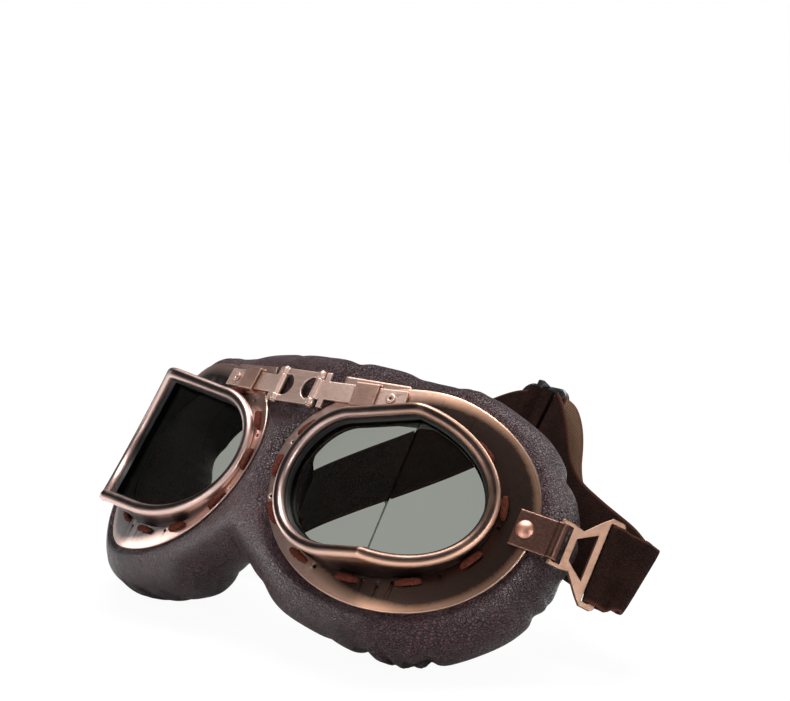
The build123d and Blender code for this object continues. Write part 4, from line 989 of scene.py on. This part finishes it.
# Strap
# Flat woven elastic, doubled from each ring round its fold. The right-hand end runs back to the slider.
# Each station is a place as shares of the strap's reach, and the way of the band's edge there.
STRAP_WIDTH = 25.0
STRAP_SHEET = 1.6
HALF_DOUBLE = 0.82
STRAP_SIDE, STRAP_BEHIND, STRAP_HIGH = 114.2, 66.0, 53.0
BAND_STEPS, BAND_ROUND = 10, 40
BAND_SQUARE_WIDE, BAND_SQUARE_DEEP = 0.45, 0.5
FOLD = np.array([
    (0.979, 0.797, 0.066, 0, 0, 1), (0.998, 0.836, 0.079, 0, 0.2, 0.98),
    (1.001, 0.876, 0.091, 0, 0.28, 0.96), (0.992, 0.914, 0.104, 0, 0.25, 0.97),
    (0.975, 0.935, 0.117, 0, 0.16, 0.985), (0.959, 0.937, 0.125, 0, 0.12, 0.99)])
INNER = np.array([
    (0.957, 0.923, 0.125, 0, 0.12, 0.99), (0.849, 0.932, 0.226, 0.34, 0, 0.94),
    (0.733, 0.924, 0.336, 0.41, 0, 0.91), (0.630, 0.929, 0.453, 0.54, 0, 0.84),
    (0.552, 0.936, 0.604, 0.73, 0, 0.68), (0.501, 0.942, 0.764, 0.79, 0, 0.62),
    (0.475, 0.950, 0.887, 0.5, 0, 0.87), (0.464, 0.954, 0.992, 0.07, 0, 1)])
OUTER = np.array([
    (0.957, 0.951, 0.125, 0, 0.12, 0.99), (0.841, 0.977, 0.213, 0.31, 0, 0.95),
    (0.736, 1.008, 0.292, 0.37, 0, 0.93), (0.639, 1.039, 0.396, 0.56, 0, 0.83),
    (0.565, 1.061, 0.519, 0.74, 0, 0.67), (0.517, 1.065, 0.670, 0.85, 0, 0.53),
    (0.493, 1.058, 0.821, 0.83, 0, 0.56), (0.489, 1.027, 0.943, 0.41, 0, 0.91),
    (0.479, 1.002, 0.989, 0.07, 0, 1)])
REAR = np.array([
    (0.479, 1.000, 0.989, 0.07, 0, 1), (0.398, 1.000, 1.000, 0.07, 0, 1),
    (0.318, 1.000, 1.000, -0.07, 0, 1), (0.236, 1.000, 0.896, -0.41, 0, 0.91),
    (0.123, 1.000, 0.745, -0.48, 0, 0.87), (-0.018, 1.000, 0.575, -0.47, 0, 0.88),
    (-0.158, 1.008, 0.421, -0.45, 0, 0.89), (-0.303, 1.020, 0.249, -0.45, 0, 0.89),
    (-0.438, 1.041, 0.050, -0.41, 0, 0.91), (-0.560, 1.061, -0.118, -0.26, 0, 0.97),
    (-0.683, 1.061, -0.176, 0, 0, 1), (-0.806, 1.030, -0.112, 0.08, 0.03, 1),
    (-0.893, 0.985, 0.020, 0.08, 0.06, 1), (-0.957, 0.938, 0.121, 0, 0.12, 0.99)])

# The UV map runs along the strap and across it from its middle, with the pale reverse REVERSE_V away
REVERSE_V = 100
REVERSE_FROM = (50.0, 51.0, 0.0, 1.0)
SELVEDGE = (11.4, 12.3, 0.0, 0.7)
RIBS, THREADS = 7.5, 9.0
webbing, add = blank("strap_webbing")
place = own_place(add)
cloth_uv = add("ShaderNodeSeparateXYZ", {0: add("ShaderNodeTexCoord").outputs["UV"]})
ribs = calc(add, "SINE", calc(add, "MULTIPLY", cloth_uv.outputs["X"], RIBS))
threads = calc(add, "SINE", calc(add, "MULTIPLY", cloth_uv.outputs["Y"], THREADS))
weave = calc(add, "MULTIPLY", ribs, threads)
fluff = noise(add, place, 1800.0, 4.0)
mottle = noise(add, place, 120.0, 3.0)
lift = calc(add, "ADD", calc(add, "MULTIPLY", weave, 0.12), calc(add, "MULTIPLY", mottle, 0.5))
lift = calc(add, "ADD", lift, calc(add, "MULTIPLY", calc(add, "SUBTRACT", fluff, 0.25), 1.1))
face = ramp(add, lift, [(0.25, (0.005, 0.0025, 0.002)), (0.8, (0.030, 0.013, 0.010))])
reverse = span(add, cloth_uv.outputs["Y"], *REVERSE_FROM)
moved = calc(add, "MULTIPLY", reverse, REVERSE_V)
from_middle = calc(add, "ABSOLUTE", calc(add, "SUBTRACT", cloth_uv.outputs["Y"], moved))
selvedge = span(add, from_middle, *SELVEDGE)
cloth = mixed(add, selvedge, mixed(add, reverse, face, (0.17, 0.1, 0.065)), (0.1, 0.04, 0.025))
surface(add, {"Base Color": cloth, "Roughness": 1.0, "Specular IOR Level": 0.06,
              "Normal": bumped(add, calc(add, "ADD", weave, fluff), 0.5, 0.0003)})


def ribbon(stations, offset, pale):
    """Closed flat band through its stations: its centre and its edge follow one smooth line each.

    The section is a superellipse, wide along the edge and thin along the band's own normal.
    """
    line = smooth_line(stations, BAND_STEPS)
    centre = line[:, :3] * (STRAP_SIDE, STRAP_BEHIND, STRAP_HIGH)
    edge = line[:, 3:] / np.linalg.norm(line[:, 3:], axis=1, keepdims=True)
    run = np.gradient(centre, axis=0)
    run = run - edge * (run * edge).sum(1, keepdims=True)
    run /= np.linalg.norm(run, axis=1, keepdims=True)
    normal = np.cross(run, edge)
    centre = centre + normal * offset
    around = np.linspace(0, 2 * np.pi, BAND_ROUND, endpoint=False)
    wide = signed_power(np.cos(around), BAND_SQUARE_WIDE) * STRAP_WIDTH / 2
    deep = signed_power(np.sin(around), BAND_SQUARE_DEEP) * STRAP_SHEET / 2
    grid = centre[:, None] + edge[:, None] * wide[:, None] + normal[:, None] * deep[:, None]
    along = np.concatenate([[0], np.cumsum(np.linalg.norm(np.diff(centre, axis=0), axis=1))])
    uv = np.stack(np.meshgrid(along, wide + REVERSE_V * pale * (deep < 0), indexing="ij"), -1)
    first = np.broadcast_to(centre[0], (1,) + grid.shape[1:])
    last = np.broadcast_to(centre[-1], (1,) + grid.shape[1:])
    return np.concatenate([first, grid, last]), np.concatenate([uv[:1], uv, uv[-1:]])


def strap_piece(name, stations, side=1, offsets=(0.0,), pale=0):
    """A piece of one or more bands that lie at offsets from one line."""
    bands = []
    for offset in offsets:
        grid, uv = ribbon(stations, offset, pale)
        bands.append(sheet_mesh("band", on_floor(placed(mirrored(grid, side))), closed_across=True, uv=uv))
    obj = piece(name, joined(name, bands), webbing)
    return obj


# The strap's end goes round the ring's outer bar: its stations lie in the ring's own frame, out and back
RING_AT = (99.146, 35.191, 3.5)
RING_TURN = np.radians(54.0)
BAR_OUT = 16.9
WRAP = 2.26
WRAP_FROM, WRAP_TO, WRAP_STEPS = 75, 285, 13
TAIL_OUT = 21.7
WAIST_OUT, WAIST_HALF = 19.6, 1.1
wrap_angle = np.radians(np.linspace(WRAP_FROM, WRAP_TO, WRAP_STEPS))
wrap = [(TAIL_OUT, HALF_DOUBLE), (WAIST_OUT, WAIST_HALF)]
wrap += [(BAR_OUT + WRAP * np.cos(a), WRAP * np.sin(a)) for a in wrap_angle]
wrap += [(WAIST_OUT, -WAIST_HALF), (TAIL_OUT, -HALF_DOUBLE)]
LOOP = np.array([((RING_AT[0] + x * np.cos(RING_TURN) - y * np.sin(RING_TURN)) / STRAP_SIDE,
                  (RING_AT[1] + x * np.sin(RING_TURN) + y * np.cos(RING_TURN)) / STRAP_BEHIND,
                  RING_AT[2] / STRAP_HIGH, 0, 0, 1) for x, y in wrap])


for side, word in SIDES:
    end = strap_piece("strap_end_" + word + "_elastic", LOOP, side)
    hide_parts("strap_end_" + word)
    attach(end, "ring_" + word)
    fold = strap_piece("strap_fold_" + word + "_elastic", FOLD, side, (-HALF_DOUBLE, HALF_DOUBLE))
    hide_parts("strap_fold_" + word)
    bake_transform(fold)
inner = strap_piece("strap_inner_elastic", INNER)
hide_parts("strap_inner")
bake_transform(inner)
outer = strap_piece("strap_outer_elastic", OUTER, pale=1)
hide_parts("strap_outer")
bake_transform(outer)
rear_band = strap_piece("strap_rear_elastic", REAR)
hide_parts("strap_rear")
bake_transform(rear_band)
dress("strap_loop", webbing)

# Slider
# Moulded gloss black plastic: an open frame in front of the strap and a bar behind it.
gloss, add = blank("slider_black")
mould = noise(add, own_place(add), 160.0, 2.0)
surface(add, {"Base Color": (0.008, 0.009, 0.012, 1), "Roughness": span(add, mould, 0.0, 1.0, 0.22, 0.36),
              "Specular IOR Level": 0.9})
dress("strap_adjuster", gloss, 0.5)
